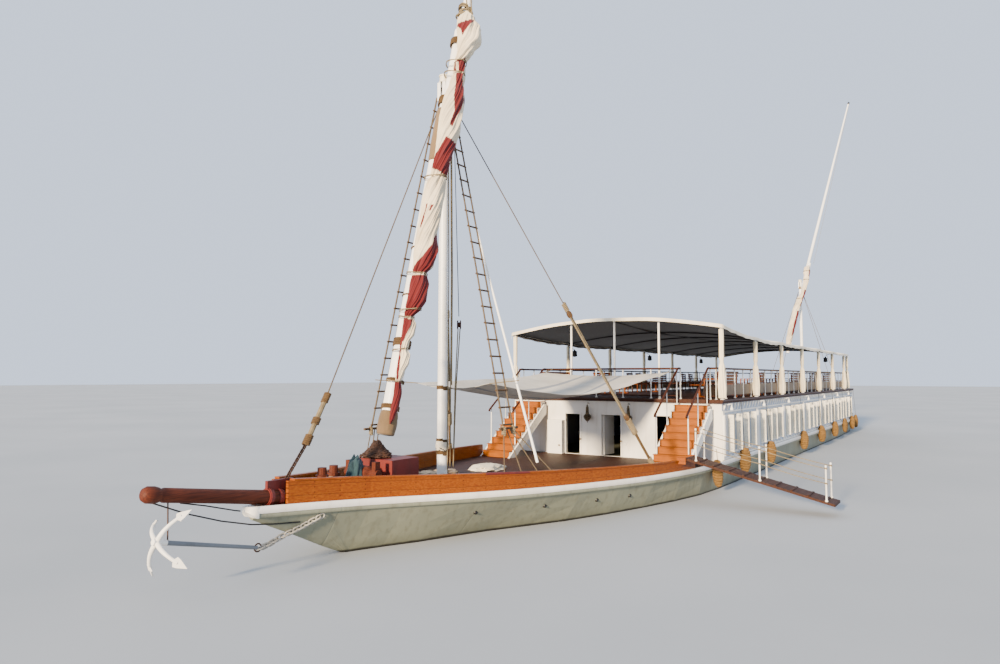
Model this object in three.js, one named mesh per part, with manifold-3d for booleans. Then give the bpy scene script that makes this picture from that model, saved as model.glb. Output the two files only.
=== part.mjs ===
// A dahabiya, the two-masted sailing houseboat of the Nile, as a 1:2 scale model.
// Sizes below are metres of the real boat; the outer group brings them to the model's millimetres.
// x runs forward, y to port, z up. The origin is amidships on the centreline, at the waterline.
import * as THREE from 'three';
import { mergeVertices } from 'three/addons/utils/BufferGeometryUtils.js';
import Module from 'manifold-3d';

const wasm = await Module();
wasm.setup();

// Scale and fits
const MODEL_MM = 500;            // model millimetres for one real metre, which is 1:2
const FIT = 0.3 / MODEL_MM;      // gap between pieces that touch
const RUN = 6 / MODEL_MM;        // clearance of a piece that moves
// A faceted bore whose flats clear a round pin of that radius as it turns
const turningBore = (radius, sides) => (radius + FIT) / Math.cos(Math.PI / sides);
const SINK = 0.03;               // how far a piece reaches into what it is then trimmed to
const WIDE = 6;                  // half-breadth of a block that spans the whole boat

// Hull: stations from the sternpost to the beak
// columns: x, half-breadth at deck, half-breadth at waterline, height of the keel
const STATIONS = [
  [-24.6, 0.90, 0.05, 0.15],
  [-24.0, 1.75, 0.95, -0.25],
  [-22.6, 2.85, 2.15, -0.55],
  [-20.4, 3.60, 3.15, -0.70],
  [-17.5, 3.93, 3.72, -0.75],
  [-12.0, 3.95, 3.88, -0.75],
  [2.0, 3.95, 3.88, -0.75],
  [9.5, 3.95, 3.86, -0.75],
  [12.8, 3.88, 3.74, -0.75],
  [15.6, 3.48, 3.12, -0.74],
  [18.3, 2.75, 2.24, -0.70],
  [20.3, 2.08, 1.30, -0.62],
  [22.0, 1.35, 0.70, -0.42],
  [23.4, 0.72, 0.12, -0.04],
  [24.6, 0.34, 0.04, 0.52],
  [25.6, 0.10, 0.02, 0.98],
];
const SIDE_POINTS = 8;           // points on each side of a hull section
const BILGE_POWER = 2.6;         // 2 is an ellipse, more is a fuller bilge
const BILGE_SHARE = 0.7;         // share of a section's points that lie under water
const FLARE_POWER = 0.85;        // hollow of the bow's sections above water
const KEEL_HALF = 0.02;
const DECK = {
  level: 0.75, thick: 0.06, bowRise: 0.36, sternRise: 0.20, sternFrom: -16, fore: 24.9, aft: -24.4,
};
const STRAKE = { out: 0.07, low: 0.03, high: 0.175, clear: 0.006, aft: -24.9, fore: 25.9 };
const BULWARK = { thick: 0.09, aft: 13.35, fore: 25.0, high: 0.35, rise: 0.15, run: 10 };
const STERN_BULWARK = { fore: -17.75, high: 0.42 };
const BOW_NOTCH = { aft: 24.6, fore: 25.2, half: 0.17, low: 1.15 };
const POST = { fore: -20.5, aft: -24.66, half: 0.06, low: -0.82, high: 1.02, skeg: -0.3, width: 0.16 };
const RUDDER = { x: -24.80, stock: 0.06, foot: -0.78, head: 1.62, blade: 1.15, bladeTop: 1.1, thick: 0.08 };
const GUDGEON = { heights: [-0.6, 0.35], radius: 0.13, high: 0.1, arm: 0.05 };
const TILLER = { reach: 1.7, low: 1.50, rise: 0.12, footR: 0.05, tipR: 0.03, hub: 0.11, hubHalf: 0.07 };
const SPRIT = {
  tipX: 27.6, tipZ: 1.69, slope: 0.155, length: 2.95, footR: 0.145, tipR: 0.115, knob: 0.14, neck: 0.36,
};
const STAY_IRON = {
  straps: [2.33, 2.55], strapR: 0.17, wide: 0.07, aft: 24.72, fore: 25.3, half: 0.035, low: 1.3, top: 1.62,
};

// Fenders of wound rope along the port strake. columns: x, height of the middle
const FENDERS = [
  [12.1, 0.62], [9.2, 0.75], [5.6, 0.7], [-0.6, 0.7], [-5.0, 0.7],
  [-9.0, 0.7], [-12.6, 0.7], [-15.6, 0.7], [-17.3, 0.7],
];
const FENDER = { long: 0.8, radius: 0.16, end: 0.08, round: 0.12 };

// Fittings of the foredeck
const BITTS = [['bitt_fore', 24.0, 0], ['bitt_aft', 23.5, -0.22]];
const BITT = { post: 0.09, collar: 0.13, low: 0.5, high: 0.58, top: 0.72 };
const HATCH = { aft: 21.7, fore: 22.55, half: 0.5, top: 1.75 };
const WINDLASS = {
  x: 22.9, half: 0.46, barrel: 0.16, neck: 0.09, waist: 0.2, flare: 0.06, axle: 1.5,
  postLong: 0.07, postWide: 0.05, postY: 0.38, top: 1.75,
};
const ANCHOR = {
  crown: 27.32, z: 0.92, eye: 25.5, tilt: 0.24, shank: 0.035, arm: 0.5, armR: 0.032, swept: 0.15, turn: 61,
  fluke: 0.17, flukeR: 0.075, sling: 27.14, slingR: 0.02,
};

// Deckhouse
const HOUSE = { fore: 11, aft: -17.4, half: 3.92, wall: 0.12, roof: 2.785, roofThick: 0.12 };
const UPPER = { fore: 11.15, aft: -17.6, half: 4.0 };
const BAY = 4.2;                 // spacing of the awning posts
const WINDOW = { low: 1.09, high: 2.28, wide: 0.95, offsets: [1.15, 3.0], count: 7 };
// columns: low y, high y, sill, head
const FRONT_OPENINGS = {
  starboard: [-1.72, -1.15, 0.76, 2.18],
  centre: [-0.29, 0.43, 0.76, 2.18],
  port: [1.70, 2.28, 0.80, 2.20],
};
// columns: node, its opening, side of the hinge, degrees that it stands open
const DOORS = [
  ['door_starboard', 'starboard', 1, -115],
  ['door_centre', 'centre', -1, 86],
];
const LEAF = 0.045;              // thickness of a door leaf
const HINGE_PIN = 0.02;
const STERN_DOOR = { half: 0.42, low: 0.80, high: 2.30 };
const LOCKER = { starboard: -2.34, port: -1.75, deep: 0.25, top: 1.95 };
const LANTERN = { y: 0.78, low: 1.92, high: 0.63, radius: 0.11, out: 0.12, hook: 0.45 };
const STAIR = {
  inner: 2.51, outer: 3.61, run: 2.37, steps: 10, board: 0.05, stringer: 0.06, deep: 0.62, foot: 0.12,
  head: 0.004, below: 0.29, toe: 0.03, heel: 0.22,
};
const RAIL = { high: 1.0, tube: 0.035, lowTube: 0.021, low: 0.12, post: 0.03, spacing: 1.4, line: 3.74 };
const HANDRAIL = { drop: 1.30, reach: 1.55, post: 0.024 };

// Awning over the upper deck
const AWNING = {
  edge: 4.93, foreLift: 0.22, crown: 0.38, thick: 0.05, half: 4.0, post: 0.045, beam: 0.03, steps: 8,
};
const AWNING_POSTS = [10.94, 6.74, 2.54, -1.66, -5.86, -10.06, -14.26, -15.5];
const AWNING_LINE = 3.93;        // half-breadth of the rows of posts
const AWNING_ENDS = [-15.65, 11.08];
const CURTAIN = { radius: 0.13, low: 0.75, tie: 0.06, swell: 0.12, long: 0.7 };

// Foredeck shade, a thin cloth that sags between the front rail, the shrouds and the mast
const SHADE = {
  aft: 11.35, fore: 19.9, aftHalf: 2.35, foreHalf: 1.1, aftZ: 3.66, foreZ: 3.34,
  sag: 0.46, hollow: 0.12, tilt: 0.2, waist: 0.25, thick: 0.02, rows: 8, columns: 6,
};

// Rig
const MAIN = { x: 20.27, top: 10.96, footR: 0.125, topR: 0.095 };
const MIZZEN = { x: -22.3, top: 10.81, footR: 0.12, topR: 0.085 };
const MAST_CAP = { from: 0.45, out: 0.035, chamfer: 0.06 };
// The sling is where a yard hangs on its mast. aft, out and up give the way that it leans
const MAIN_YARD = {
  x: 20.65, y: 0.32, z: 9.82, aft: 0.2549, out: 0, up: 1, below: 7.75, above: 19.2,
  footR: 0.17, slingR: 0.15, tipR: 0.05,
};
const MIZZEN_YARD = {
  x: -22.11, y: 0.28, z: 10.2, aft: 4.0, out: 2.9, up: 14.8, below: 5.2, above: 15.6,
  footR: 0.12, slingR: 0.12, tipR: 0.045,
};
const MAIN_SAIL = { from: -7.3, to: 2.85, side: 0.19, radius: 0.24, head: 1.2 };
const MIZZEN_SAIL = { from: -4.9, to: 1.2, side: 0.27, radius: 0.2, head: 0.6 };
const SLING = { collar: 0.05, half: 0.09, head: 0.205, pin: 0.05, seat: 0.02 };
const ROPE = 0.022;
// The port shrouds keep clear of the yard: they hang from an iron arm under its sling
const SHROUDS = {
  port: { side: 1, head: 9.66, out: 0.3, feet: [20.5, 19.9] },
  starboard: { side: -1, head: 10.4, out: 0, feet: [21.1, 20.6] },
};
const SHROUD = {
  spread: 0.05, rungs: 6, rung: 0.014, first: 0.12, last: 0.84, past: 0.15, arm: 0.03, armWide: 0.08,
};
const FORESTAY = { head: 10.45, footX: 24.85 };
const BACKSTAY = {
  head: 10.4, footX: 15.6, upper: 0.573, lower: 1.2, block: 0.09, blockHalf: 0.15, spread: 0.05,
};
const MIZZEN_STAYS = { head: 9.5, feet: [-22.2, -23.4] };
const CHAINPLATE = 0.05;         // how far inside the hull's side a stay is made fast
const GANGWAY = {
  aft: 13.5, fore: 14.3, y: 3.86, z: 1.22, half: 0.03, reach: 3.8, drop: 0.9, pin: 0.02, knuckle: 0.035,
  cleats: 9, cleatStep: 0.4, cleatHigh: 0.025, cleatWide: 0.05,
  posts: [0.3, 2.0, 3.6], postHigh: 0.9, postR: 0.02,
};
const LUG = { wide: 0.06, inboard: 0.2, past: 0.04, deep: 0.14, seat: 0.01 };

const vec = (x, y, z) => new THREE.Vector3(x, y, z);
const UP = vec(0, 0, 1);

// Materials by their common names. columns: colour, roughness, metalness
const looks = {
  hullPaint: [0xb9b3a6, 0.5, 0],
  whitePaint: [0xe9e6dc, 0.5, 0],
  varnish: [0xb9671f, 0.35, 0],
  deckPaint: [0x5a3a2c, 0.6, 0],
  darkWood: [0x4a2a1c, 0.5, 0],
  rustWood: [0x6d3a28, 0.6, 0],
  redIron: [0x7d1f1c, 0.5, 0.4],
  bronze: [0x5b3a20, 0.4, 0.7],
  canvas: [0xded4bd, 0.9, 0],
  sailcloth: [0xe0d6c0, 0.9, 0],
  rope: [0xb89d72, 0.9, 0],
};
const material = {};
for (const [name, [color, roughness, metalness]] of Object.entries(looks)) {
  material[name] = new THREE.MeshStandardMaterial({ color, roughness, metalness });
}

const boat = new THREE.Group();
boat.scale.setScalar(MODEL_MM);

// Closed solids from geometries, and back
function solid(geometry) {
  const bare = geometry.index ? geometry.toNonIndexed() : geometry.clone();
  bare.deleteAttribute('normal');
  bare.deleteAttribute('uv');
  const merged = mergeVertices(bare, 1e-5);
  return new wasm.Manifold(new wasm.Mesh({
    numProp: 3,
    vertProperties: new Float32Array(merged.attributes.position.array),
    triVerts: new Uint32Array(merged.index.array),
  }));
}

function add(name, shape, look, place = { at: [0, 0, 0], turn: 0 }) {
  const { vertProperties, triVerts } = shape.getMesh();
  const geometry = new THREE.BufferGeometry();
  geometry.setAttribute('position', new THREE.BufferAttribute(vertProperties, 3));
  geometry.setIndex(new THREE.BufferAttribute(triVerts, 1));
  geometry.computeVertexNormals();
  const mesh = new THREE.Mesh(geometry, material[look]);
  mesh.name = name;
  mesh.position.set(...place.at);
  mesh.rotation.z = place.turn;
  boat.add(mesh);
}

const join = (first, ...rest) => rest.reduce((whole, piece) => whole.add(piece), first);
const cut = (first, ...rest) => rest.reduce((whole, piece) => whole.subtract(piece), first);

function block(x0, x1, y0, y1, z0, z1) {
  const box = new THREE.BoxGeometry(x1 - x0, y1 - y0, z1 - z0);
  box.translate((x0 + x1) / 2, (y0 + y1) / 2, (z0 + z1) / 2);
  return solid(box);
}

// A round bar, tapered if its two radii differ
function bar(from, to, radius, endRadius = radius, sides = 8) {
  const reach = to.clone().sub(from);
  const rod = new THREE.CylinderGeometry(endRadius, radius, reach.length(), sides);
  rod.applyQuaternion(new THREE.Quaternion().setFromUnitVectors(vec(0, 1, 0), reach.clone().normalize()));
  rod.translate(...from.clone().addScaledVector(reach, 0.5).toArray());
  return solid(rod);
}

// A turned form along a line: rows of distance along it and radius
function turned(from, direction, rows, sides = 10) {
  const profile = rows.map(([distance, radius]) => new THREE.Vector2(radius, distance));
  const lathe = new THREE.LatheGeometry(profile, sides);
  const facing = direction.clone().normalize();
  lathe.applyQuaternion(new THREE.Quaternion().setFromUnitVectors(vec(0, 1, 0), facing));
  lathe.translate(...from.toArray());
  return solid(lathe);
}

function extruded(points, depth) {
  const shape = new THREE.Shape(points.map(([a, b]) => new THREE.Vector2(a, b)));
  return new THREE.ExtrudeGeometry(shape, { depth, bevelEnabled: false });
}

// A plan of x and y, raised from z0 to z1
function upright(points, z0, z1) {
  const plate = extruded(points, z1 - z0);
  plate.translate(0, 0, z0);
  return solid(plate);
}

// A side profile of x and z, spread from y0 to y1
function across(points, y0, y1) {
  const plate = extruded(points, y1 - y0);
  plate.rotateX(Math.PI / 2);
  plate.translate(0, y1, 0);
  return solid(plate);
}

// A section of y and z, spread from x0 to x1
function lengthwise(points, x0, x1) {
  const plate = extruded(points, x1 - x0);
  plate.rotateX(Math.PI / 2);
  plate.rotateZ(Math.PI / 2);
  plate.translate(x0, 0, 0);
  return solid(plate);
}

// A closed skin over rings that all have the same even number of points. Each end is closed
// rung by rung between the ring's two halves, which suits a hull's section and a thin arch
function loft(rings) {
  const count = rings[0].length;
  const faces = [];
  for (let r = 0; r + 1 < rings.length; r += 1) {
    for (let i = 0; i < count; i += 1) {
      const a = r * count + i;
      const b = r * count + (i + 1) % count;
      faces.push(a, b, a + count, b, b + count, a + count);
    }
  }
  const last = (rings.length - 1) * count;
  for (let i = 0; i + 1 < count / 2; i += 1) {
    const j = count - 1 - i;
    faces.push(i, j, j - 1, i, j - 1, i + 1);
    faces.push(last + i, last + i + 1, last + j - 1, last + i, last + j - 1, last + j);
  }
  const skin = new THREE.BufferGeometry();
  skin.setAttribute('position', new THREE.BufferAttribute(new Float32Array(rings.flat(2)), 3));
  skin.setIndex(faces);
  return solid(skin);
}

// A thin sheet from rows of points, thickened upwards; every row runs from starboard to port
function sheet(rows, thick) {
  return loft(rows.map((row) => [...row, ...[...row].reverse().map(([x, y, z]) => [x, y, z + thick])]));
}

// Hull lines
const column = (index) => new THREE.CubicInterpolant(
  STATIONS.map((row) => row[0]), STATIONS.map((row) => row[index]), 1, new Float32Array(1));
const lines = { deck: column(1), water: column(2), keel: column(3) };
const deckHalf = (x) => lines.deck.evaluate(x)[0];
const waterHalf = (x) => Math.max(0.01, lines.water.evaluate(x)[0]);
const keelHeight = (x) => lines.keel.evaluate(x)[0];
const hullAft = STATIONS[0][0];
const hullFore = STATIONS[STATIONS.length - 1][0];

function deckHeight(x) {
  const bow = Math.max(0, (x - HOUSE.fore) / (hullFore - HOUSE.fore));
  const stern = Math.max(0, (DECK.sternFrom - x) / (DECK.sternFrom - hullAft));
  return DECK.level + DECK.bowRise * bow ** 2 + DECK.sternRise * stern ** 2;
}
const deckUnder = (x) => deckHeight(x) - DECK.thick;

// Each span between stations is halved, apart from the long straight ones amidships
const samples = STATIONS.flatMap(([x], i) => {
  const next = STATIONS[i + 1];
  if (!next) return [x];
  return next[0] - x > 5 ? [x] : [x, (x + next[0]) / 2];
});

function halfAt(x, z, top) {
  const keel = keelHeight(x);
  if (keel >= 0) {
    return KEEL_HALF + (deckHalf(x) - KEEL_HALF) * Math.max(0, (z - keel) / (top - keel)) ** FLARE_POWER;
  }
  if (z >= 0) return waterHalf(x) + (deckHalf(x) - waterHalf(x)) * z / top;
  const fullness = Math.max(0, 1 - (z / keel) ** BILGE_POWER) ** (1 / BILGE_POWER);
  return KEEL_HALF + (waterHalf(x) - KEEL_HALF) * fullness;
}

// The hull up to the underside of its deck, grown for cutting what lies against it
function hullSkin(grow, shift = 0) {
  return loft(samples.map((x) => {
    const top = deckUnder(x);
    const keel = keelHeight(x) - grow;
    const floats = keel < 0;
    const base = Math.max(keel, 0);
    const port = Array.from({ length: SIDE_POINTS }, (_, i) => {
      const turn = i / (SIDE_POINTS - 1);
      const rise = floats ? (turn - BILGE_SHARE) / (1 - BILGE_SHARE) : turn;
      const below = floats && turn < BILGE_SHARE;
      const z = below ? keel * Math.cos(turn / BILGE_SHARE * Math.PI / 2) : base + (top + grow - base) * rise;
      return [x + shift, halfAt(x, Math.min(z, top), top) + grow, z];
    });
    const starboard = port.map(([px, y, z]) => [px, -y, z]).reverse();
    return [...starboard, ...port];
  }));
}

// The deck's outline, moved out by a distance along its own normals
const bulwarkEnds = [BULWARK.aft, BULWARK.fore, STERN_BULWARK.fore];
const outlineStations = [...samples, ...bulwarkEnds].sort((a, b) => a - b);
function outline(out, from = hullAft, to = hullFore) {
  const step = 0.05;
  const nearest = 0.03;
  const xs = outlineStations.filter((x) => x > from + 0.01 && x < to - 0.01);
  const side = [from, ...xs, to].map((x) => {
    const ahead = deckHalf(Math.min(x + step, hullFore));
    const astern = deckHalf(Math.max(x - step, hullAft));
    const slope = (ahead - astern) / (2 * step);
    const length = Math.hypot(1, slope);
    return [x - slope / length * out, Math.max(nearest, deckHalf(x) + out / length)];
  });
  return [...side.map(([x, y]) => [x, -y]), ...side.reverse()];
}
const plan = (out, from, to) => upright(outline(out, from, to), -1, 4);

// A band between two heights that follow x, from one end to the other
function heightBand(low, high, from, to) {
  const xs = [from, ...samples.filter((x) => x > from && x < to), to];
  return across([...xs.map((x) => [x, low(x)]), ...[...xs].reverse().map((x) => [x, high(x)])], -WIDE, WIDE);
}
const bottom = () => -1;

// Hull with its sternpost, skeg and the two gudgeons that carry the rudder
const rudderAxis = (z) => vec(RUDDER.x, 0, z);
const PIN_SIDES = 16;
const rudderBar = (low, high, radius) => bar(rudderAxis(low), rudderAxis(high), radius, radius, PIN_SIDES);
function gudgeon(z) {
  const eye = rudderBar(z, z + GUDGEON.high, GUDGEON.radius);
  const arm = block(RUDDER.x, POST.aft + SINK, -GUDGEON.arm, GUDGEON.arm, z, z + GUDGEON.high);
  return cut(join(eye, arm), rudderBar(z - 1, z + 1, turningBore(RUDDER.stock, PIN_SIDES)));
}
function sternPost(grow) {
  const half = POST.half + grow;
  const low = POST.low - grow;
  const fore = POST.aft + POST.width;
  return join(
    block(POST.aft - grow, fore, -half, half, low, POST.high + grow),
    block(fore - SINK, POST.fore, -half, half, low, POST.skeg));
}
const grownHull = join(hullSkin(FIT), hullSkin(FIT, FIT), hullSkin(FIT, -FIT), sternPost(FIT));
add('hull', join(hullSkin(0), sternPost(0), ...GUDGEON.heights.map(gudgeon)), 'hullPaint');

// Rudder on its stock, and the tiller on the stock's head
const blade = block(RUDDER.x - RUDDER.blade, RUDDER.x, -RUDDER.thick / 2, RUDDER.thick / 2,
  RUDDER.foot, RUDDER.bladeTop);
const gudgeonRoom = GUDGEON.heights.map(
  (z) => rudderBar(z - RUN, z + GUDGEON.high + RUN, GUDGEON.radius + RUN));
const rudderStock = rudderBar(RUDDER.foot, RUDDER.head, RUDDER.stock);
add('rudder', join(cut(blade, ...gudgeonRoom), rudderStock), 'whitePaint');
const tillerTip = vec(RUDDER.x + TILLER.reach, 0, TILLER.low + TILLER.rise);
const tillerArm = bar(rudderAxis(TILLER.low), tillerTip, TILLER.footR, TILLER.tipR);
const tillerHub = rudderBar(TILLER.low - TILLER.hubHalf, TILLER.low + TILLER.hubHalf, TILLER.hub);
add('tiller', cut(join(tillerHub, tillerArm), rudderBar(0, 3, RUDDER.stock + FIT)), 'varnish');

// Bowsprit log, lying in a notch of the bow, with an iron strapped round it for the forestay
const SPRIT_SIDES = 14;
const spritWay = vec(-1, 0, -SPRIT.slope).normalize();
const onSprit = (distance) => vec(SPRIT.tipX, 0, SPRIT.tipZ).addScaledVector(spritWay, distance);
add('bowsprit', turned(onSprit(0), spritWay, [
  [0, 0], [0, SPRIT.knob * 0.7], [0.08, SPRIT.knob], [SPRIT.neck - 0.08, SPRIT.knob],
  [SPRIT.neck, SPRIT.tipR], [SPRIT.length, SPRIT.footR], [SPRIT.length, 0],
], SPRIT_SIDES), 'rustWood');
const spritLeft = SPRIT.length - SPRIT.neck;
const spritRoom = turned(onSprit(SPRIT.neck), spritWay, [
  [0, 0], [0, SPRIT.tipR + FIT], [spritLeft, SPRIT.footR + FIT], [SPRIT.length, SPRIT.footR + FIT],
  [SPRIT.length, 0],
], SPRIT_SIDES);
const strap = (distance) => turned(onSprit(distance), spritWay, [
  [0, 0], [0, STAY_IRON.strapR], [STAY_IRON.wide, STAY_IRON.strapR], [STAY_IRON.wide, 0],
], SPRIT_SIDES);
const stayPlate = (grow) => block(STAY_IRON.aft - grow, STAY_IRON.fore + grow,
  -STAY_IRON.half - grow, STAY_IRON.half + grow, STAY_IRON.low - grow, STAY_IRON.top + grow);
add('stay_iron', cut(join(...STAY_IRON.straps.map(strap), stayPlate(0)), spritRoom), 'redIron');

// Decks
const INBOARD = -BULWARK.thick - 2 * FIT;
const DECKS = [
  ['foredeck', HOUSE.fore + FIT, DECK.fore],
  ['poop_deck', DECK.aft, HOUSE.aft - FIT],
];
for (const [node, from, to] of DECKS) {
  const planks = plan(INBOARD, from, to).intersect(heightBand(deckUnder, deckHeight, from, to));
  add(node, cut(planks, grownHull), 'deckPaint');
}
const deckRoom = heightBand(bottom, (x) => deckHeight(x) + FIT, DECK.aft, DECK.fore);
const onDeck = (x, y) => vec(x, y, deckHeight(x) - SINK);

// Bulwark of the bow, with the gangway's lugs and pin on its port side
const onPin = (x) => vec(x, GANGWAY.y, GANGWAY.z);
const gangwayBar = (from, to, radius) => bar(onPin(from), onPin(to), radius, radius, PIN_SIDES);
const gangwayLug = (x) => block(x, x + LUG.wide, GANGWAY.y - LUG.inboard, GANGWAY.y + LUG.past,
  GANGWAY.z - LUG.deep, GANGWAY.z + LUG.past);
const gangwayPin = gangwayBar(GANGWAY.aft - RUN - LUG.seat, GANGWAY.fore + RUN + LUG.seat, GANGWAY.pin);
const aftLug = gangwayLug(GANGWAY.aft - RUN - LUG.wide);
const gangwayLugs = join(aftLug, gangwayLug(GANGWAY.fore + RUN), gangwayPin);
const bulwarkTop = (x) => deckHeight(x) + BULWARK.high + BULWARK.rise * (x - BULWARK.aft) / BULWARK.run;
const bulwarkRing = cut(plan(-2 * FIT, BULWARK.aft, BULWARK.fore),
  plan(-BULWARK.thick, BULWARK.aft - 1, BULWARK.fore - BULWARK.thick));
const bulwarkBand = heightBand(deckUnder, bulwarkTop, BULWARK.aft, BULWARK.fore);
const bowNotch = block(BOW_NOTCH.aft, BOW_NOTCH.fore, -BOW_NOTCH.half, BOW_NOTCH.half, BOW_NOTCH.low, 3);
const bulwark = cut(bulwarkRing.intersect(bulwarkBand), grownHull);
add('bulwark', cut(join(bulwark, gangwayLugs), bowNotch, spritRoom), 'varnish');

// Bulwark of the stern
const sternTop = (x) => deckHeight(x) + STERN_BULWARK.high;
const sternRing = cut(plan(-2 * FIT, hullAft + 2 * FIT, STERN_BULWARK.fore),
  plan(-BULWARK.thick, hullAft + 0.12, STERN_BULWARK.fore + 1));
const sternBand = heightBand(deckUnder, sternTop, hullAft, STERN_BULWARK.fore);
add('stern_bulwark', cut(sternRing.intersect(sternBand), grownHull), 'whitePaint');

// Rub strake round the edge of the deck, with the fenders hung against it on the port side
function fender([x, z]) {
  const from = vec(x, deckHalf(x) + STRAKE.out + FENDER.radius * 0.7, z - FENDER.long / 2);
  return turned(from, UP, [
    [0, 0], [0, FENDER.end], [FENDER.round, FENDER.radius], [FENDER.long - FENDER.round, FENDER.radius],
    [FENDER.long, FENDER.end], [FENDER.long, 0],
  ], 7);
}
const strakeHigh = (x) => deckUnder(x) + STRAKE.high;
const strakeLow = (x) => deckUnder(x) - STRAKE.low;
const strakePlate = plan(STRAKE.out).intersect(heightBand(strakeLow, strakeHigh, STRAKE.aft, STRAKE.fore));
const strakeInside = plan(STRAKE.clear)
  .intersect(heightBand((x) => deckUnder(x) - 0.01, (x) => strakeHigh(x) + 0.1, hullAft - 1, hullFore + 1));
const strapRoom = turned(onSprit(STAY_IRON.straps[0] - FIT), spritWay, [
  [0, 0], [0, STAY_IRON.strapR + FIT], [STAY_IRON.straps[1] - STAY_IRON.straps[0] + STAY_IRON.wide + 2 * FIT,
    STAY_IRON.strapR + FIT], [STAY_IRON.straps[1] - STAY_IRON.straps[0] + STAY_IRON.wide + 2 * FIT, 0],
], SPRIT_SIDES);
const strake = cut(strakePlate, strakeInside, spritRoom, strapRoom);
const gudgeonClear = block(-25.2, -24.5, -0.16, 0.16, 0, 2);
add('rub_strake', cut(join(strake, ...FENDERS.map(fender)), grownHull, gudgeonClear), 'whitePaint');

// Deck fittings on the bow
for (const [node, x, y] of BITTS) {
  const post = turned(onDeck(x, y), UP, [
    [0, 0], [0, BITT.post], [BITT.low, BITT.post], [BITT.low, BITT.collar], [BITT.high, BITT.collar],
    [BITT.high, BITT.post], [BITT.top, BITT.post], [BITT.top, 0],
  ], 12);
  add(node, cut(post, deckRoom), 'rustWood');
}
const hatchFoot = deckHeight(HATCH.aft) - SINK;
const hatchBox = block(HATCH.aft, HATCH.fore, -HATCH.half, HATCH.half, hatchFoot, HATCH.top);
add('deck_hatch', cut(hatchBox, deckRoom), 'redIron');
const windlassPost = (y) => block(
  WINDLASS.x - WINDLASS.postLong, WINDLASS.x + WINDLASS.postLong,
  y - WINDLASS.postWide, y + WINDLASS.postWide,
  deckHeight(WINDLASS.x) - SINK, WINDLASS.top);
const windlassEnd = 2 * WINDLASS.half;
const barrelFrom = WINDLASS.waist + WINDLASS.flare;
const windlassBarrel = turned(vec(WINDLASS.x, -WINDLASS.half, WINDLASS.axle), vec(0, 1, 0), [
  [0, 0], [0, WINDLASS.neck], [WINDLASS.waist, WINDLASS.neck], [barrelFrom, WINDLASS.barrel],
  [windlassEnd - barrelFrom, WINDLASS.barrel], [windlassEnd - WINDLASS.waist, WINDLASS.neck],
  [windlassEnd, WINDLASS.neck], [windlassEnd, 0],
], 14);
const windlass = join(windlassPost(-WINDLASS.postY), windlassPost(WINDLASS.postY), windlassBarrel);
add('windlass', cut(windlass, deckRoom), 'rustWood');

// Grapnel slung under the bowsprit's end: a shank, and four swept arms with pointed flukes
const onShank = (x) => vec(x, 0, ANCHOR.z - ANCHOR.tilt * (ANCHOR.crown - x));
function anchorArm(quarter) {
  const turn = THREE.MathUtils.degToRad(ANCHOR.turn + 90 * quarter);
  const along = (reach, swept) => vec(
    ANCHOR.crown - swept, reach * Math.cos(turn), ANCHOR.z + reach * Math.sin(turn));
  const elbow = along(ANCHOR.arm * 0.75, ANCHOR.swept * 0.25);
  const bill = along(ANCHOR.arm, ANCHOR.swept);
  const tip = along(ANCHOR.arm + 0.02, ANCHOR.swept + ANCHOR.fluke);
  return join(
    bar(onShank(ANCHOR.crown), elbow, ANCHOR.armR, ANCHOR.armR, 6),
    bar(elbow, bill, ANCHOR.armR, ANCHOR.armR, 6),
    bar(bill, tip, ANCHOR.flukeR, 0.01, 4));
}
const anchorShank = bar(onShank(ANCHOR.crown + 0.05), onShank(ANCHOR.eye), ANCHOR.shank);
const slingTop = onSprit((SPRIT.tipX - ANCHOR.sling) / -spritWay.x);
const anchorSling = bar(onShank(ANCHOR.sling), slingTop, ANCHOR.slingR);
const anchor = join(anchorShank, ...[0, 1, 2, 3].map(anchorArm), anchorSling);
add('anchor', cut(anchor, spritRoom), 'whitePaint');

// Deckhouse walls, split where the real ones meet
const floorLine = deckUnder(HOUSE.fore) + 2 * FIT;
const ceiling = HOUSE.roof - HOUSE.roofThick - FIT;
const inner = HOUSE.half - HOUSE.wall;
const frontBack = HOUSE.fore - HOUSE.wall;
const sternFront = HOUSE.aft + HOUSE.wall;
const PAST = 0.1;                // how far a cutting block runs past a wall's faces
const frontHole = ([low, high, sill, head]) => block(
  frontBack - PAST, HOUSE.fore + PAST, low, high, sill, head);
function hingeGroove([, opening, side]) {
  const [low, high, sill, head] = FRONT_OPENINGS[opening];
  const y = side > 0 ? high : low;
  const radius = turningBore(HINGE_PIN, PIN_SIDES);
  return bar(vec(frontBack, y, sill - PAST), vec(frontBack, y, head + PAST), radius, radius, PIN_SIDES);
}
const frontWall = block(frontBack, HOUSE.fore, -HOUSE.half, HOUSE.half, floorLine, ceiling);
const frontHoles = Object.values(FRONT_OPENINGS).map(frontHole);
add('house_front', cut(frontWall, ...frontHoles, ...DOORS.map(hingeGroove)), 'whitePaint');

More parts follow.
